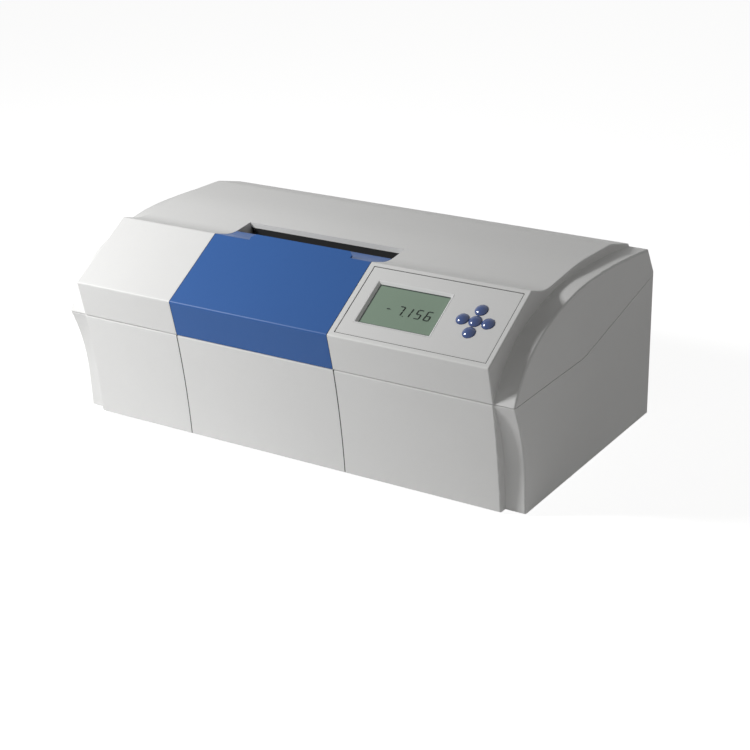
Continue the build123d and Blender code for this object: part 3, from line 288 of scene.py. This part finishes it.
def roll_front_lip(piece):
    """Rounds the outer upper edge of the lower front, which catches the light below the seam."""
    lip_start = SEAM_HEIGHT - LIP_ROUND
    bpy.ops.object.mode_set(mode="EDIT")
    for turn in LIP_TURNS:
        bpy.ops.mesh.select_all(action="SELECT")
        level = lip_start + LIP_ROUND * sin(radians(turn))
        bpy.ops.mesh.bisect(plane_co=(0, 0, level), plane_no=(0, 0, 1))
    bpy.ops.object.mode_set(mode="OBJECT")
    for point in piece.data.vertices:
        share = min(1.0, (LIP_ROOT_Y - point.co.y) / LIP_ROUND)
        rise = min(LIP_ROUND, point.co.z - lip_start)
        if share > 0 and rise > 0:
            point.co.y += share * (LIP_ROUND - (LIP_ROUND ** 2 - rise ** 2) ** 0.5)


for name in ("lower_housing", "front_panel"):
    rounded(name + "_moulding", name, "case", case_plastic, radius=0.0004, lipped=True)


# Painted shade behind the two joint lines: a black extruded strip each, between the housing and the panel,
# darkens the gaps.
# They follow the hollow of the front and show as dark lines.
def flat_start(label):
    """A square sheet, one metre across, that a strip or a ring is made from."""
    bpy.ops.object.select_all(action="DESELECT")
    bpy.ops.mesh.primitive_plane_add(size=1)
    made = bpy.context.active_object
    made.name = label
    return made


FRONT_FOOT_Y = -0.1453
FRONT_FOOT_Z = 0.003
FRONT_LEAN = 0.0115
FRONT_HOLLOW = 0.0020
LID_LEFT = -0.1374
LID_RIGHT = 0.0783
JOINT_SHADE_WIDTH = 0.0011
JOINT_SHADE_BACK = 0.0026
JOINT_SHADE_DEPTH = 0.0054
JOINT_SHADE_END = 0.0005
JOINT_SHADE_CUTS = 15
for label, joint_x in (("joint_gap_shade_left", LID_LEFT), ("joint_gap_shade_right", LID_RIGHT)):
    strip = flat_start(label)
    bpy.ops.object.mode_set(mode="EDIT")
    bpy.ops.mesh.subdivide(number_cuts=JOINT_SHADE_CUTS)
    bpy.ops.mesh.extrude_region_move(TRANSFORM_OT_translate={"value": (0, 0, 0.5)})
    bpy.ops.object.mode_set(mode="OBJECT")
    for point in strip.data.vertices:
        share = point.co.y + 0.5
        wall_y = FRONT_FOOT_Y - FRONT_LEAN * share + 4 * FRONT_HOLLOW * share * (1 - share)
        height = FRONT_FOOT_Z + JOINT_SHADE_END + share * (SEAM_HEIGHT - FRONT_FOOT_Z - 2 * JOINT_SHADE_END)
        point.co = (
            joint_x + point.co.x * JOINT_SHADE_WIDTH,
            wall_y + JOINT_SHADE_BACK - point.co.z * JOINT_SHADE_DEPTH,
            height,
        )
    # The strip's black is painted shade in the joint gap.
    strip.data.materials.append(black_rubber)
    bpy.ops.object.shade_smooth_by_angle(angle=radians(30))
    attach(strip, "case")


# Top cover: one moulding of the same off-white plastic, open for the lid, pocketed for the display.
# It sits on the lower housing along the seam.
rounded("top_cover_moulding", "top_cover", "case", case_plastic, radius=0.0005)


# Painted shade beside the lid: a thin black extruded strip on each side of the cover's opening darkens the
# gap.
# Each runs from the seam up the front and the slope to the ridge.
SIDE_PATH = ((-0.1568, 0.1315), (-0.1646, 0.1735), (-0.0743, 0.2261))
LID_SHADE_WIDTH = 0.0006
LID_SHADE_DEPTH = 0.0020
for label, edge_x, side in (("lid_gap_shade_left", LID_LEFT, 1), ("lid_gap_shade_right", LID_RIGHT, -1)):
    strip = flat_start(label)
    bpy.ops.object.mode_set(mode="EDIT")
    bpy.ops.mesh.subdivide(number_cuts=1)
    bpy.ops.mesh.extrude_region_move(TRANSFORM_OT_translate={"value": (0, 0, 1)})
    bpy.ops.object.mode_set(mode="OBJECT")
    for point in strip.data.vertices:
        spot_y, spot_z = SIDE_PATH[round(2 * point.co.y) + 1]
        across = edge_x + side * LID_SHADE_WIDTH * (point.co.x + 0.5)
        inward = LID_SHADE_DEPTH * (1 - point.co.z)
        point.co = (across, spot_y + inward, spot_z - inward / 2)
    # The strip's black is painted shade in the lid's gap.
    strip.data.materials.append(black_rubber)
    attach(strip, "case")


# Optical bench and analyser bracket: aluminium, sand cast, so that the skin stays coarse.
# The bench stands on the base plate, and the bracket stands on the bench and holds the analyser's bearing.
cast_metal = metal(
    "cast_metal", colour=(0.62, 0.63, 0.64), dull=(0.47, 0.48, 0.49),
    roughness=0.5, stretch=(420, 420, 420), line_height=0.35,
)
rounded("optical_bench_casting", "optical_bench", "case", cast_metal, radius=0.0008)
rounded("analyser_bracket_casting", "analyser_bracket", "case", cast_metal, radius=0.0006)


# Lamp house, servo motor, detector housing and high-voltage module: sheet and turned metal, painted grey.
# Each encloses its works; the lamp house is vented and open to the beam on one side.
grey_paint = moulding(
    "grey_paint", colour=(0.30, 0.31, 0.32), worn=(0.5, 0.5, 0.5),
    roughness=0.42, scale=620.0, height=0.18, mottle=0.10, wear=0.7,
)
for name in ("lamp_house", "servo_motor", "detector_housing", "high_voltage_module"):
    rounded(name + "_body", name, "case", grey_paint, radius=0.0004)


# Lamp socket: glazed ceramic, because the sodium lamp runs hot.
# It holds the lamp's foot inside the lamp house.
ceramic = moulding(
    "ceramic", colour=(0.70, 0.67, 0.60), worn=(0.74, 0.71, 0.64),
    roughness=0.28, scale=260.0, height=0.06, mottle=0.12, wear=0.1,
)
dress(["lamp_socket"], ceramic)


# Lenses, windows, lamp, rod and photomultiplier: polished glass with a trace of dust.
# The two polarising films are dark plastic, one in its mount and one in the analyser gear's hub.
glass = moulding(
    "optic_glass", colour=(0.93, 0.95, 0.96), worn=(0.95, 0.95, 0.95),
    roughness=0.05, scale=90.0, height=0.01, mottle=0.03, wear=0.0, spread=0.06,
    Transmission_Weight=0.9, IOR=1.5,
)
dress(["beam_windows", "sodium_lamp", "condenser_lens", "faraday_rod", "interference_filter",
       "photomultiplier"], glass)
dark_film = moulding(
    "dark_film", colour=(0.06, 0.065, 0.06), worn=(0.1, 0.1, 0.1),
    roughness=0.15, scale=90.0, height=0.01, mottle=0.05, wear=0.0, spread=0.05,
    Transmission_Weight=0.4, IOR=1.5,
)
dress(["polariser_film", "analyser_film"], dark_film)


# Barrels, mounts, holders and the tube cradle: turned or folded metal on the path of the light.
# They are painted matt black so that no stray light gets back.
black_paint = moulding(
    "black_paint", colour=(0.020, 0.020, 0.021), worn=(0.16, 0.16, 0.165),
    roughness=0.50, scale=700.0, height=0.20, mottle=0.25, wear=0.7,
)
dress(["condenser_barrel", "polariser_mount", "filter_holder", "tube_cradle"], black_paint)


# Faraday modulator: a moulded bobbin wound with enamelled copper wire, one turn beside the next.
# The photomultiplier's socket is the same black plastic.
fine_lines, given, result = group_sockets(
    "fine_lines",
    [("Colour", COLOUR, (0.6, 0.3, 0.1, 1)), ("Groove colour", COLOUR, (0.2, 0.1, 0.05, 1)),
     ("Along", VECTOR, (1, 0, 0)), ("Lines", NUMBER, 1500.0), ("Line height", NUMBER, 0.5),
     ("Roughness", NUMBER, 0.3)],
    [("Colour", COLOUR), ("Roughness", NUMBER), ("Normal", VECTOR)],
)
place = node(fine_lines, "ShaderNodeTexCoord").outputs["Object"]
across = node(fine_lines, "ShaderNodeVectorMath", operation="DOT_PRODUCT")
fine_lines.links.new(place, across.inputs[0])
fine_lines.links.new(given.outputs["Along"], across.inputs[1])
patches = noise(fine_lines, place, scale=60.0, detail=3.0)
phase = calc(fine_lines, "MULTIPLY", across.outputs["Value"], given.outputs["Lines"])
phase = calc(fine_lines, "MULTIPLY_ADD", patches, 1.2, phase)
wave = calc(fine_lines, "MULTIPLY_ADD", calc(fine_lines, "SINE", phase), 0.5, 0.5)
# Painted shade: the colour darkens towards the groove colour in the hollows between wire turns; between
# stacked sheets it is partly their dark joints too.
groove_shade = calc(fine_lines, "POWER", calc(fine_lines, "SUBTRACT", 1.0, wave), 3.0)
groove_shade = calc(fine_lines, "ADD", calc(fine_lines, "MULTIPLY", groove_shade, 0.75),
              calc(fine_lines, "MULTIPLY", patches, 0.25), clamp=True)
fine_lines.links.new(
    blend_colour(fine_lines, groove_shade, given.outputs["Colour"], given.outputs["Groove colour"]),
    result.inputs["Colour"],
)
fine_lines.links.new(
    calc(fine_lines, "MULTIPLY_ADD", patches, 0.2, given.outputs["Roughness"], clamp=True),
    result.inputs["Roughness"],
)
bump = node(fine_lines, "ShaderNodeBump")
bump.inputs["Distance"].default_value = 0.0005
fine_lines.links.new(given.outputs["Line height"], bump.inputs["Strength"])
fine_lines.links.new(wave, bump.inputs["Height"])
fine_lines.links.new(bump.outputs[0], result.inputs["Normal"])


def lined(name, colour, groove_shade, along, lines, height, roughness, **settings):
    """Wound wire or stacked sheets: lines at an even pitch across one direction, with painted shade
    darkening the grooves.
    """
    return surface(
        name, fine_lines,
        {"Colour": (*colour, 1), "Groove colour": (*groove_shade, 1), "Along": along, "Lines": lines,
         "Line height": height, "Roughness": roughness},
        SKIN_WIRES, {key.replace("_", " "): value for key, value in settings.items()},
    )


WIRE_THICK = 0.0006
copper_wire = lined(
    "copper_wire", colour=(0.62, 0.26, 0.10), groove_shade=(0.16, 0.05, 0.02), along=(1, 0, 0),
    lines=2 * pi / WIRE_THICK, height=0.8, roughness=0.22, Metallic=0.9, Coat_Weight=0.3,
)
dress(["faraday_winding"], copper_wire)
black_plastic = moulding(
    "black_plastic", colour=(0.030, 0.030, 0.032), worn=(0.09, 0.09, 0.09),
    roughness=0.36, scale=1100.0, height=0.12, mottle=0.2, wear=0.5,
)
dress(["faraday_bobbin", "detector_socket"], black_plastic)


# Analyser gear, its bearing and the board's standoffs: brass, turned and cut from bar.
# The gear and the bearing show fine turning marks round the beam's axis.
brass = metal(
    "machined_brass", colour=(0.68, 0.50, 0.24), dull=(0.50, 0.35, 0.15),
    roughness=0.28, stretch=(900, 60, 60), line_height=0.15,
)
dress(["analyser_bearing", "analyser_gear", "board_standoffs"], brass)


# Motor pinion and bracket, lid knuckles and hinge pins: plated steel like the base plate.
# The pins pass through the brackets and the knuckles, which are fixed under the lid.
dress(["motor_pinion", "motor_bracket", "lid_knuckles", "hinge_pins"], plated_steel)


# Transformer and ballast: a core of stacked steel sheets, varnished, and a coil that stands out of it.
# The coil is wound on the core's middle leg and wrapped in yellow tape.
SHEET_THICK = 0.0011
laminations = lined(
    "stacked_sheets", colour=(0.17, 0.165, 0.16), groove_shade=(0.035, 0.033, 0.03), along=(0, 0, 1),
    lines=2 * pi / SHEET_THICK, height=0.6, roughness=0.42, Metallic=0.7,
)
TRANSFORMER_CORE = (0.0515, 0.0925)
BALLAST_CORE = (0.0415, 0.0725)
coil_tape = moulding(
    "coil_tape", colour=(0.52, 0.42, 0.16), worn=(0.60, 0.52, 0.26),
    roughness=0.38, scale=500.0, height=0.25, mottle=0.18,
)


def finish_faces(piece, material, chosen):
    """A second finish for the faces whose middle passes a test."""
    piece.data.materials.append(material)
    for face in piece.data.polygons:
        if chosen(face.center):
            face.material_index = len(piece.data.materials) - 1


for name, core in (("mains_transformer", TRANSFORMER_CORE), ("lamp_ballast", BALLAST_CORE)):
    wound = rounded(name + "_core", name, "case", laminations, radius=0.0005)
    finish_faces(wound, coil_tape, lambda middle: not core[0] < middle.y < core[1])


# Boards: glass-fibre sheet under green solder mask, with traces that show as faint raised lines.
# The chips on the main board are black plastic.
board_skin, given, result = group_sockets(
    "board_skin",
    [("Mask colour", COLOUR, (0.01, 0.12, 0.05, 1)), ("Trace colour", COLOUR, (0.03, 0.22, 0.09, 1)),
     ("Pitch", NUMBER, 420.0)],
    [("Colour", COLOUR), ("Roughness", NUMBER), ("Normal", VECTOR)],
)
place = node(board_skin, "ShaderNodeTexCoord").outputs["Object"]
bricks = node(board_skin, "ShaderNodeTexBrick", offset=0.37, squash=0.6)
board_skin.links.new(place, bricks.inputs["Vector"])
board_skin.links.new(given.outputs["Pitch"], bricks.inputs["Scale"])
bricks.inputs["Mortar Size"].default_value = 0.045
bricks.inputs["Mortar Smooth"].default_value = 0.2
weave = noise(board_skin, place, scale=2400.0, detail=2.0)
traces = calc(board_skin, "MULTIPLY", bricks.outputs["Fac"], 0.8)
board_skin.links.new(
    blend_colour(board_skin, traces, given.outputs["Mask colour"], given.outputs["Trace colour"]),
    result.inputs["Colour"],
)
board_skin.links.new(calc(board_skin, "MULTIPLY_ADD", weave, 0.15, 0.22), result.inputs["Roughness"])
bump = node(board_skin, "ShaderNodeBump")
bump.inputs["Distance"].default_value = 0.0002
bump.inputs["Strength"].default_value = 0.4
board_skin.links.new(traces, bump.inputs["Height"])
board_skin.links.new(bump.outputs[0], result.inputs["Normal"])
board = surface("green_board", board_skin, {}, SKIN_WIRES, {"Specular IOR Level": 0.6})
dress(["display_board"], board)
BOARD_TOP = 0.0197
main_board = rounded("main_board_sheet", "main_board", "case", board, radius=0.0002)
finish_faces(main_board, black_plastic, lambda middle: middle.z > BOARD_TOP)


# Rear panel: sheet steel painted black, behind the opening in the housing's back wall.
# It carries the mains inlet, the fuse, two rocker switches and the serial connector, which snap or screw in.
rounded("rear_panel_sheet", "rear_panel", "case", black_paint, radius=0.0002)
for label, name, body in (
    ("power_inlet_body", "power_inlet", "case"),
    ("fuse_holder_body", "fuse_holder", "case"),
    ("rocker_frame_bodies", "rocker_frames", "case"),
    ("power_rocker_cap", "power_rocker", "power_switch"),
    ("lamp_rocker_cap", "lamp_rocker", "lamp_switch"),
):
    rounded(label, name, body, black_plastic, radius=0.0003)
rounded("serial_connector_shell", "serial_connector", "case", plated_steel, radius=0.0003)
BACK_LEAN = radians(3.457)
BACK_FOOT_Y = 0.1547
on_back = Matrix((
    (-1, 0, 0, 0),
    (0, sin(BACK_LEAN), cos(BACK_LEAN), BACK_FOOT_Y),
    (0, cos(BACK_LEAN), -sin(BACK_LEAN), FRONT_FOOT_Z),
    (0, 0, 0, 1),
))


def fitting(label, x, height, depth, size, radius, material):
    """A small block with rounded edges, seen on the back wall at this place."""
    bpy.ops.object.select_all(action="DESELECT")
    bpy.ops.mesh.primitive_cube_add(size=1)
    made = bpy.context.active_object
    made.name = label
    made.scale = size
    made.location = (-x, height, depth)
    bpy.ops.object.transform_apply()
    bpy.ops.object.mode_set(mode="EDIT")
    bpy.ops.mesh.bevel(offset=radius, segments=3)
    bpy.ops.object.mode_set(mode="OBJECT")
    bpy.ops.object.shade_smooth_by_angle(angle=radians(40))
    made.data.transform(on_back)
    made.data.materials.append(material)
    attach(made, "case")


FITTING_ROW = 0.064
INLET_X = 0.212
BLADE_SPOTS = ((-0.0045, -0.005), (0.0045, -0.005), (0.0, 0.005))
BLADE_DEPTH = -0.0129
BLADE_SIZE = (0.0022, 0.0042, 0.0100)
for number, (shift, rise) in enumerate(BLADE_SPOTS):
    fitting(f"inlet_blade_{number}", INLET_X + shift, FITTING_ROW + rise, BLADE_DEPTH,
            BLADE_SIZE, radius=0.0004, material=brass)
SERIAL_X = 0.083
SERIAL_FACE = 0.0021
INSERT_SIZE = (0.0125, 0.0155, 0.0008)
CONTACT_FACE = 0.0024
CONTACT_SIZE = (0.0011, 0.0011, 0.0010)
CONTACT_ROWS = ((-1, 5), (1, 4))
CONTACT_SPREAD = 0.0016
CONTACT_PITCH = 0.00277
fitting("serial_insert", SERIAL_X, FITTING_ROW, SERIAL_FACE, INSERT_SIZE, radius=0.0003,
        material=black_plastic)
for column, count in CONTACT_ROWS:
    for row in range(count):
        fitting(f"serial_contact_{column + 1}_{row}", SERIAL_X + CONTACT_SPREAD * column,
                FITTING_ROW + CONTACT_PITCH * (row - (count - 1) / 2), CONTACT_FACE,
                CONTACT_SIZE, radius=0.0003, material=brass)


# Sample chamber: a tub of sheet steel painted black, open at the top under the lid.
# The hinge shelf behind it and the two hinge brackets are folded from the same sheet.
rounded("sample_chamber_tub", "sample_chamber", "case", black_paint, radius=0.0004)
rounded("hinge_shelf_sheet", "hinge_shelf", "case", black_paint, radius=0.0003)
rounded("hinge_bracket_pair", "hinge_brackets", "case", black_paint, radius=0.0003)


# Sample lid: moulded like the covers, then painted blue with a satin lacquer.
# It swings up on the two knuckles under its rear edge.
lid_blue = moulding(
    "lid_blue", colour=(0.021, 0.106, 0.352), worn=(0.06, 0.18, 0.46),
    roughness=0.42, scale=1300.0, height=0.05, mottle=0.05, wear=0.5,
    Specular_IOR_Level=0.3,
)
rounded("sample_lid_moulding", "sample_lid", "lid", lid_blue, radius=0.0005)


# Display overlay and bezel: a light grey plastic sheet in the cover's pocket, a white frame in its window.
# A thin black ring on the pocket's floor, under the gap round the sheet, is painted shade that shows as a
# dark outline.
overlay_grey = moulding(
    "overlay_grey", colour=(0.745, 0.745, 0.740), worn=(0.80, 0.80, 0.80),
    roughness=0.45, scale=2000.0, height=0.06, mottle=0.03, wear=0.5,
)
rounded("display_overlay_sheet", "display_overlay", "case", overlay_grey, radius=0.0002)
SLOPE_FOOT = Vector((0.0, -0.165, 0.1735))
SLOPE_ANGLE = radians(30.1591)
on_slope = Matrix.Translation(SLOPE_FOOT) @ Matrix.Rotation(SLOPE_ANGLE, 4, "X")
POCKET_SIZE = (0.1853, 0.0945)
POCKET_MIDDLE = (0.17695, 0.05285)
POCKET_DEPTH = 0.0011
OVERLAY_GAP = 0.0009
GAP_SHADE_THICK = 0.0004


def ring_on_slope(label, size, middle, level, width, shift, rise, material):
    """A flat ring on the slope: cut from a sheet, its opening moved aside, then given its thickness."""
    ring = flat_start(label)
    ring.scale = (*size, 1)
    ring.location = (*middle, level)
    bpy.ops.object.transform_apply()
    bpy.ops.object.mode_set(mode="EDIT")
    bpy.ops.mesh.inset(thickness=width)
    bpy.ops.transform.translate(value=shift)
    bpy.ops.mesh.delete(type="FACE")
    bpy.ops.mesh.select_all(action="SELECT")
    bpy.ops.mesh.extrude_region_move(TRANSFORM_OT_translate={"value": (0, 0, rise)})
    bpy.ops.object.mode_set(mode="OBJECT")
    ring.data.transform(on_slope)
    ring.data.materials.append(material)
    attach(ring, "case")


# The ring is painted shade: black under the gap round the overlay.
ring_on_slope(
    "overlay_gap_shade", size=POCKET_SIZE, middle=POCKET_MIDDLE, level=-POCKET_DEPTH, width=OVERLAY_GAP,
    shift=(0, 0, 0), rise=GAP_SHADE_THICK, material=black_rubber,
)
bezel_white = moulding(
    "bezel_white", colour=(0.80, 0.80, 0.80), worn=(0.86, 0.86, 0.86),
    roughness=0.40, scale=1500.0, height=0.05, mottle=0.02, wear=0.3,
)
rounded("lcd_bezel_frame", "lcd_bezel", "case", bezel_white, radius=0.0002)


# LCD: a grey-green glass cell with seven-segment figures, lit by nothing but the room.
# The figures are printed dark in the plane of the glass; the dark border there is painted shade.
lcd_green = moulding(
    "lcd_green", colour=(0.215, 0.305, 0.225), worn=(0.25, 0.3, 0.24),
    roughness=0.22, scale=60.0, height=0.01, mottle=0.06, wear=0.0, spread=0.05,
)
dress(["lcd_glass", "lcd_module"], lcd_green)
lcd_ink_and_shade = moulding(
    "lcd_ink_and_shade", colour=(0.022, 0.036, 0.030), worn=(0.05, 0.06, 0.05),
    roughness=0.3, scale=900.0, height=0.02, mottle=0.15, wear=0.0,
)

GLASS_DEPTH = 0.00315
FIGURE_HEIGHT = 0.0118
FIGURE_WIDTH = 0.0060
STROKE = 0.00105
INK_THICK = 0.00006
BORDER_SIZE = (0.0880, 0.0530)
BORDER_MIDDLE = (0.1466, 0.0533)
BORDER_WIDTH = 0.0009
BORDER_SHIFT = (0.0007, -0.0005, 0)
SLANT = 0.14
BAR_GAP = 0.0004
BAR_POINT = 0.48
MINUS_SHARE = 0.8
POINT_SHIFT = 0.0062
POINT_SHARE = 1.1
POINT_FIGURE_X = 0.1429
SEGMENTS = {
    "a": (0.0, 1.0, 0), "b": (0.5, 0.5, 1), "c": (0.5, -0.5, 1), "d": (0.0, -1.0, 0),
    "e": (-0.5, -0.5, 1), "f": (-0.5, 0.5, 1), "g": (0.0, 0.0, 0),
}
FIGURES = {"-": "g", "7": "abc", "1": "bc", "5": "afgcd", "6": "afgcde"}
READING = (("-", 0.1281), ("7", POINT_FIGURE_X), ("1", 0.1530), ("5", 0.1657), ("6", 0.1774))
ROW_MIDDLE = 0.0504

# Painted shade round the cell: a dark border, widened at the left and top where the recess is in shade; the
# bezel hides it on the right and below
ring_on_slope(
    "lcd_shade_border", size=BORDER_SIZE, middle=BORDER_MIDDLE, level=-GLASS_DEPTH + INK_THICK, width=BORDER_WIDTH,
    shift=BORDER_SHIFT, rise=-INK_THICK, material=lcd_ink_and_shade,
)


def segment(x, y, length, upright):
    """One bar of a figure: a thin plate with pointed ends."""
    bpy.ops.mesh.primitive_cube_add(size=1)
    bar = bpy.context.active_object
    bar.scale = (length, STROKE, INK_THICK)
    bpy.ops.object.transform_apply(location=False, rotation=False, scale=True)
    for edge in bar.data.edges:
        first, second = (bar.data.vertices[index].co for index in edge.vertices)
        edge.select = abs(first.z - second.z) > INK_THICK / 2
    for face in bar.data.polygons:
        face.select = False
    bpy.ops.object.mode_set(mode="EDIT")
    bpy.ops.mesh.bevel(offset=STROKE * BAR_POINT, segments=1)
    bpy.ops.object.mode_set(mode="OBJECT")
    bar.rotation_euler = (0, 0, radians(90) if upright else 0)
    bar.location = (x, y, INK_THICK / 2)
    bpy.ops.object.transform_apply()
    return bar


bpy.ops.object.select_all(action="DESELECT")
bars = []
for figure, middle_x in READING:
    for key in FIGURES[figure]:
        side, level, upright = SEGMENTS[key]
        length = FIGURE_HEIGHT / 2 if upright else FIGURE_WIDTH
        if figure == "-":
            length *= MINUS_SHARE
        bar = segment(side * FIGURE_WIDTH, level * FIGURE_HEIGHT / 2, length - BAR_GAP, upright)
        bars.append((bar, middle_x))
bars.append((segment(POINT_SHIFT, -FIGURE_HEIGHT / 2, STROKE * POINT_SHARE, 0), POINT_FIGURE_X))
for bar, middle_x in bars:
    for vertex in bar.data.vertices:
        vertex.co.x += SLANT * vertex.co.y + middle_x
        vertex.co.y += ROW_MIDDLE
bpy.ops.object.select_all(action="DESELECT")
for bar, middle_x in bars:
    bar.select_set(True)
figures = bars[0][0]
bpy.context.view_layer.objects.active = figures
bpy.ops.object.join()
figures.name = "lcd_figures"
figures.data.transform(on_slope @ Matrix.Translation((0, 0, -GLASS_DEPTH)))
figures.data.materials.append(lcd_ink_and_shade)
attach(figures, "case")


# Keys: domed caps of glossy blue plastic, each standing in its own hole of the overlay.
# Each works its own switch on the display board.
key_blue = moulding(
    "key_blue", colour=(0.010, 0.058, 0.250), worn=(0.03, 0.09, 0.3),
    roughness=0.18, scale=700.0, height=0.02, mottle=0.08, wear=0.2, spread=0.06,
    Coat_Weight=0.4, Coat_Roughness=0.08,
)
dress(["key_up", "key_left", "key_enter", "key_right", "key_down"], key_blue)


# Studio: a plain white table, a lamp to the left in front, a weak panel to the right, and an even pale room.
# The camera sees the table and the room lighter than they light the instrument.
TABLE_SIZE = 16
TABLE_WHITE = (0.80, 0.80, 0.80, 1)
SEEN_WHITE = (0.42, 0.42, 0.42, 1)
SEEN_GLOW = 0.89
ROOM_LIGHT = (1.0, 0.99, 0.965, 1)
ROOM_STRENGTH = 0.14


def seen_directly(tree):
    """One for rays from the camera, also in a reflection or through glass, and none for the light itself."""
    rays = node(tree, "ShaderNodeLightPath")
    return calc(tree, "MAXIMUM", rays.outputs["Is Camera Ray"],
                calc(tree, "MAXIMUM", rays.outputs["Is Glossy Ray"], rays.outputs["Is Transmission Ray"]))


bpy.ops.object.select_all(action="DESELECT")
bpy.ops.mesh.primitive_plane_add(size=TABLE_SIZE)
table = bpy.context.active_object
table.name = "studio_table"
table_white = bpy.data.materials.new("table_white")
table_white.use_nodes = True
tree = table_white.node_tree
tree.nodes.clear()
paper = node(tree, "ShaderNodeBsdfDiffuse")
paper.inputs["Color"].default_value = TABLE_WHITE
glow = node(tree, "ShaderNodeEmission")
glow.inputs["Strength"].default_value = SEEN_GLOW
both = node(tree, "ShaderNodeAddShader")
blend = node(tree, "ShaderNodeMixShader")
out = node(tree, "ShaderNodeOutputMaterial")
tree.links.new(seen_directly(tree), blend.inputs[0])
tree.links.new(paper.outputs[0], blend.inputs[1])
tree.links.new(both.outputs[0], blend.inputs[2])
faint = node(tree, "ShaderNodeBsdfDiffuse")
faint.inputs["Color"].default_value = SEEN_WHITE
tree.links.new(faint.outputs[0], both.inputs[0])
tree.links.new(glow.outputs[0], both.inputs[1])
tree.links.new(blend.outputs[0], out.inputs["Surface"])
table.data.materials.append(table_white)

room = bpy.data.worlds.new("studio_room")
bpy.context.scene.world = room
room.use_nodes = True
tree = room.node_tree
tree.nodes.clear()
dim = node(tree, "ShaderNodeBackground")
dim.inputs["Color"].default_value = ROOM_LIGHT
dim.inputs["Strength"].default_value = ROOM_STRENGTH
white = node(tree, "ShaderNodeBackground")
white.inputs["Color"].default_value = (1, 1, 1, 1)
white.inputs["Strength"].default_value = 1.0
blend = node(tree, "ShaderNodeMixShader")
out = node(tree, "ShaderNodeOutputWorld")
tree.links.new(seen_directly(tree), blend.inputs[0])
tree.links.new(dim.outputs[0], blend.inputs[1])
tree.links.new(white.outputs[0], blend.inputs[2])
tree.links.new(blend.outputs[0], out.inputs["Surface"])


def lamp(name, place, aim, size, power):
    """A square soft lamp that faces a point."""
    light = bpy.data.lights.new(name, "AREA")
    light.size = size
    light.energy = power
    made = bpy.data.objects.new(name, light)
    made.matrix_world = Matrix.Translation(place) @ (Vector(aim) - Vector(place)).to_track_quat(
        "-Z", "Y").to_matrix().to_4x4()
    bpy.context.scene.collection.objects.link(made)


lamp("key_lamp", place=(-0.93, -0.78, 0.96), aim=(0.0, -0.05, 0.12), size=0.26, power=17.7)
lamp("fill_lamp", place=(1.6, 0.3, 0.25), aim=(0.3, 0.0, 0.12), size=1.2, power=1.3)


# Camera: at the photograph's place, above the right front of the instrument.
# Its place, turn and focal length are the ones that bring the case's edges onto the photograph's.
right = Vector((0.8334660, 0.5508592, -0.0434572))
above = Vector((-0.1841001, 0.3509785, 0.9181074))
view = Vector((-0.5210005, 0.7572108, -0.3939419))
stand = Vector((1.1114520, -1.5800204, 0.8755201))
SENSOR_WIDTH = 36.0
FOCAL_LENGTH = 85.805
camera = bpy.data.cameras.new("camera")
camera.sensor_width = SENSOR_WIDTH
camera.lens = FOCAL_LENGTH
camera.clip_start = 0.05
shot = bpy.data.objects.new("camera", camera)
shot.matrix_world = Matrix((
    (right.x, above.x, -view.x, stand.x),
    (right.y, above.y, -view.y, stand.y),
    (right.z, above.z, -view.z, stand.z),
    (0, 0, 0, 1),
))
bpy.context.scene.collection.objects.link(shot)
bpy.context.scene.camera = shot
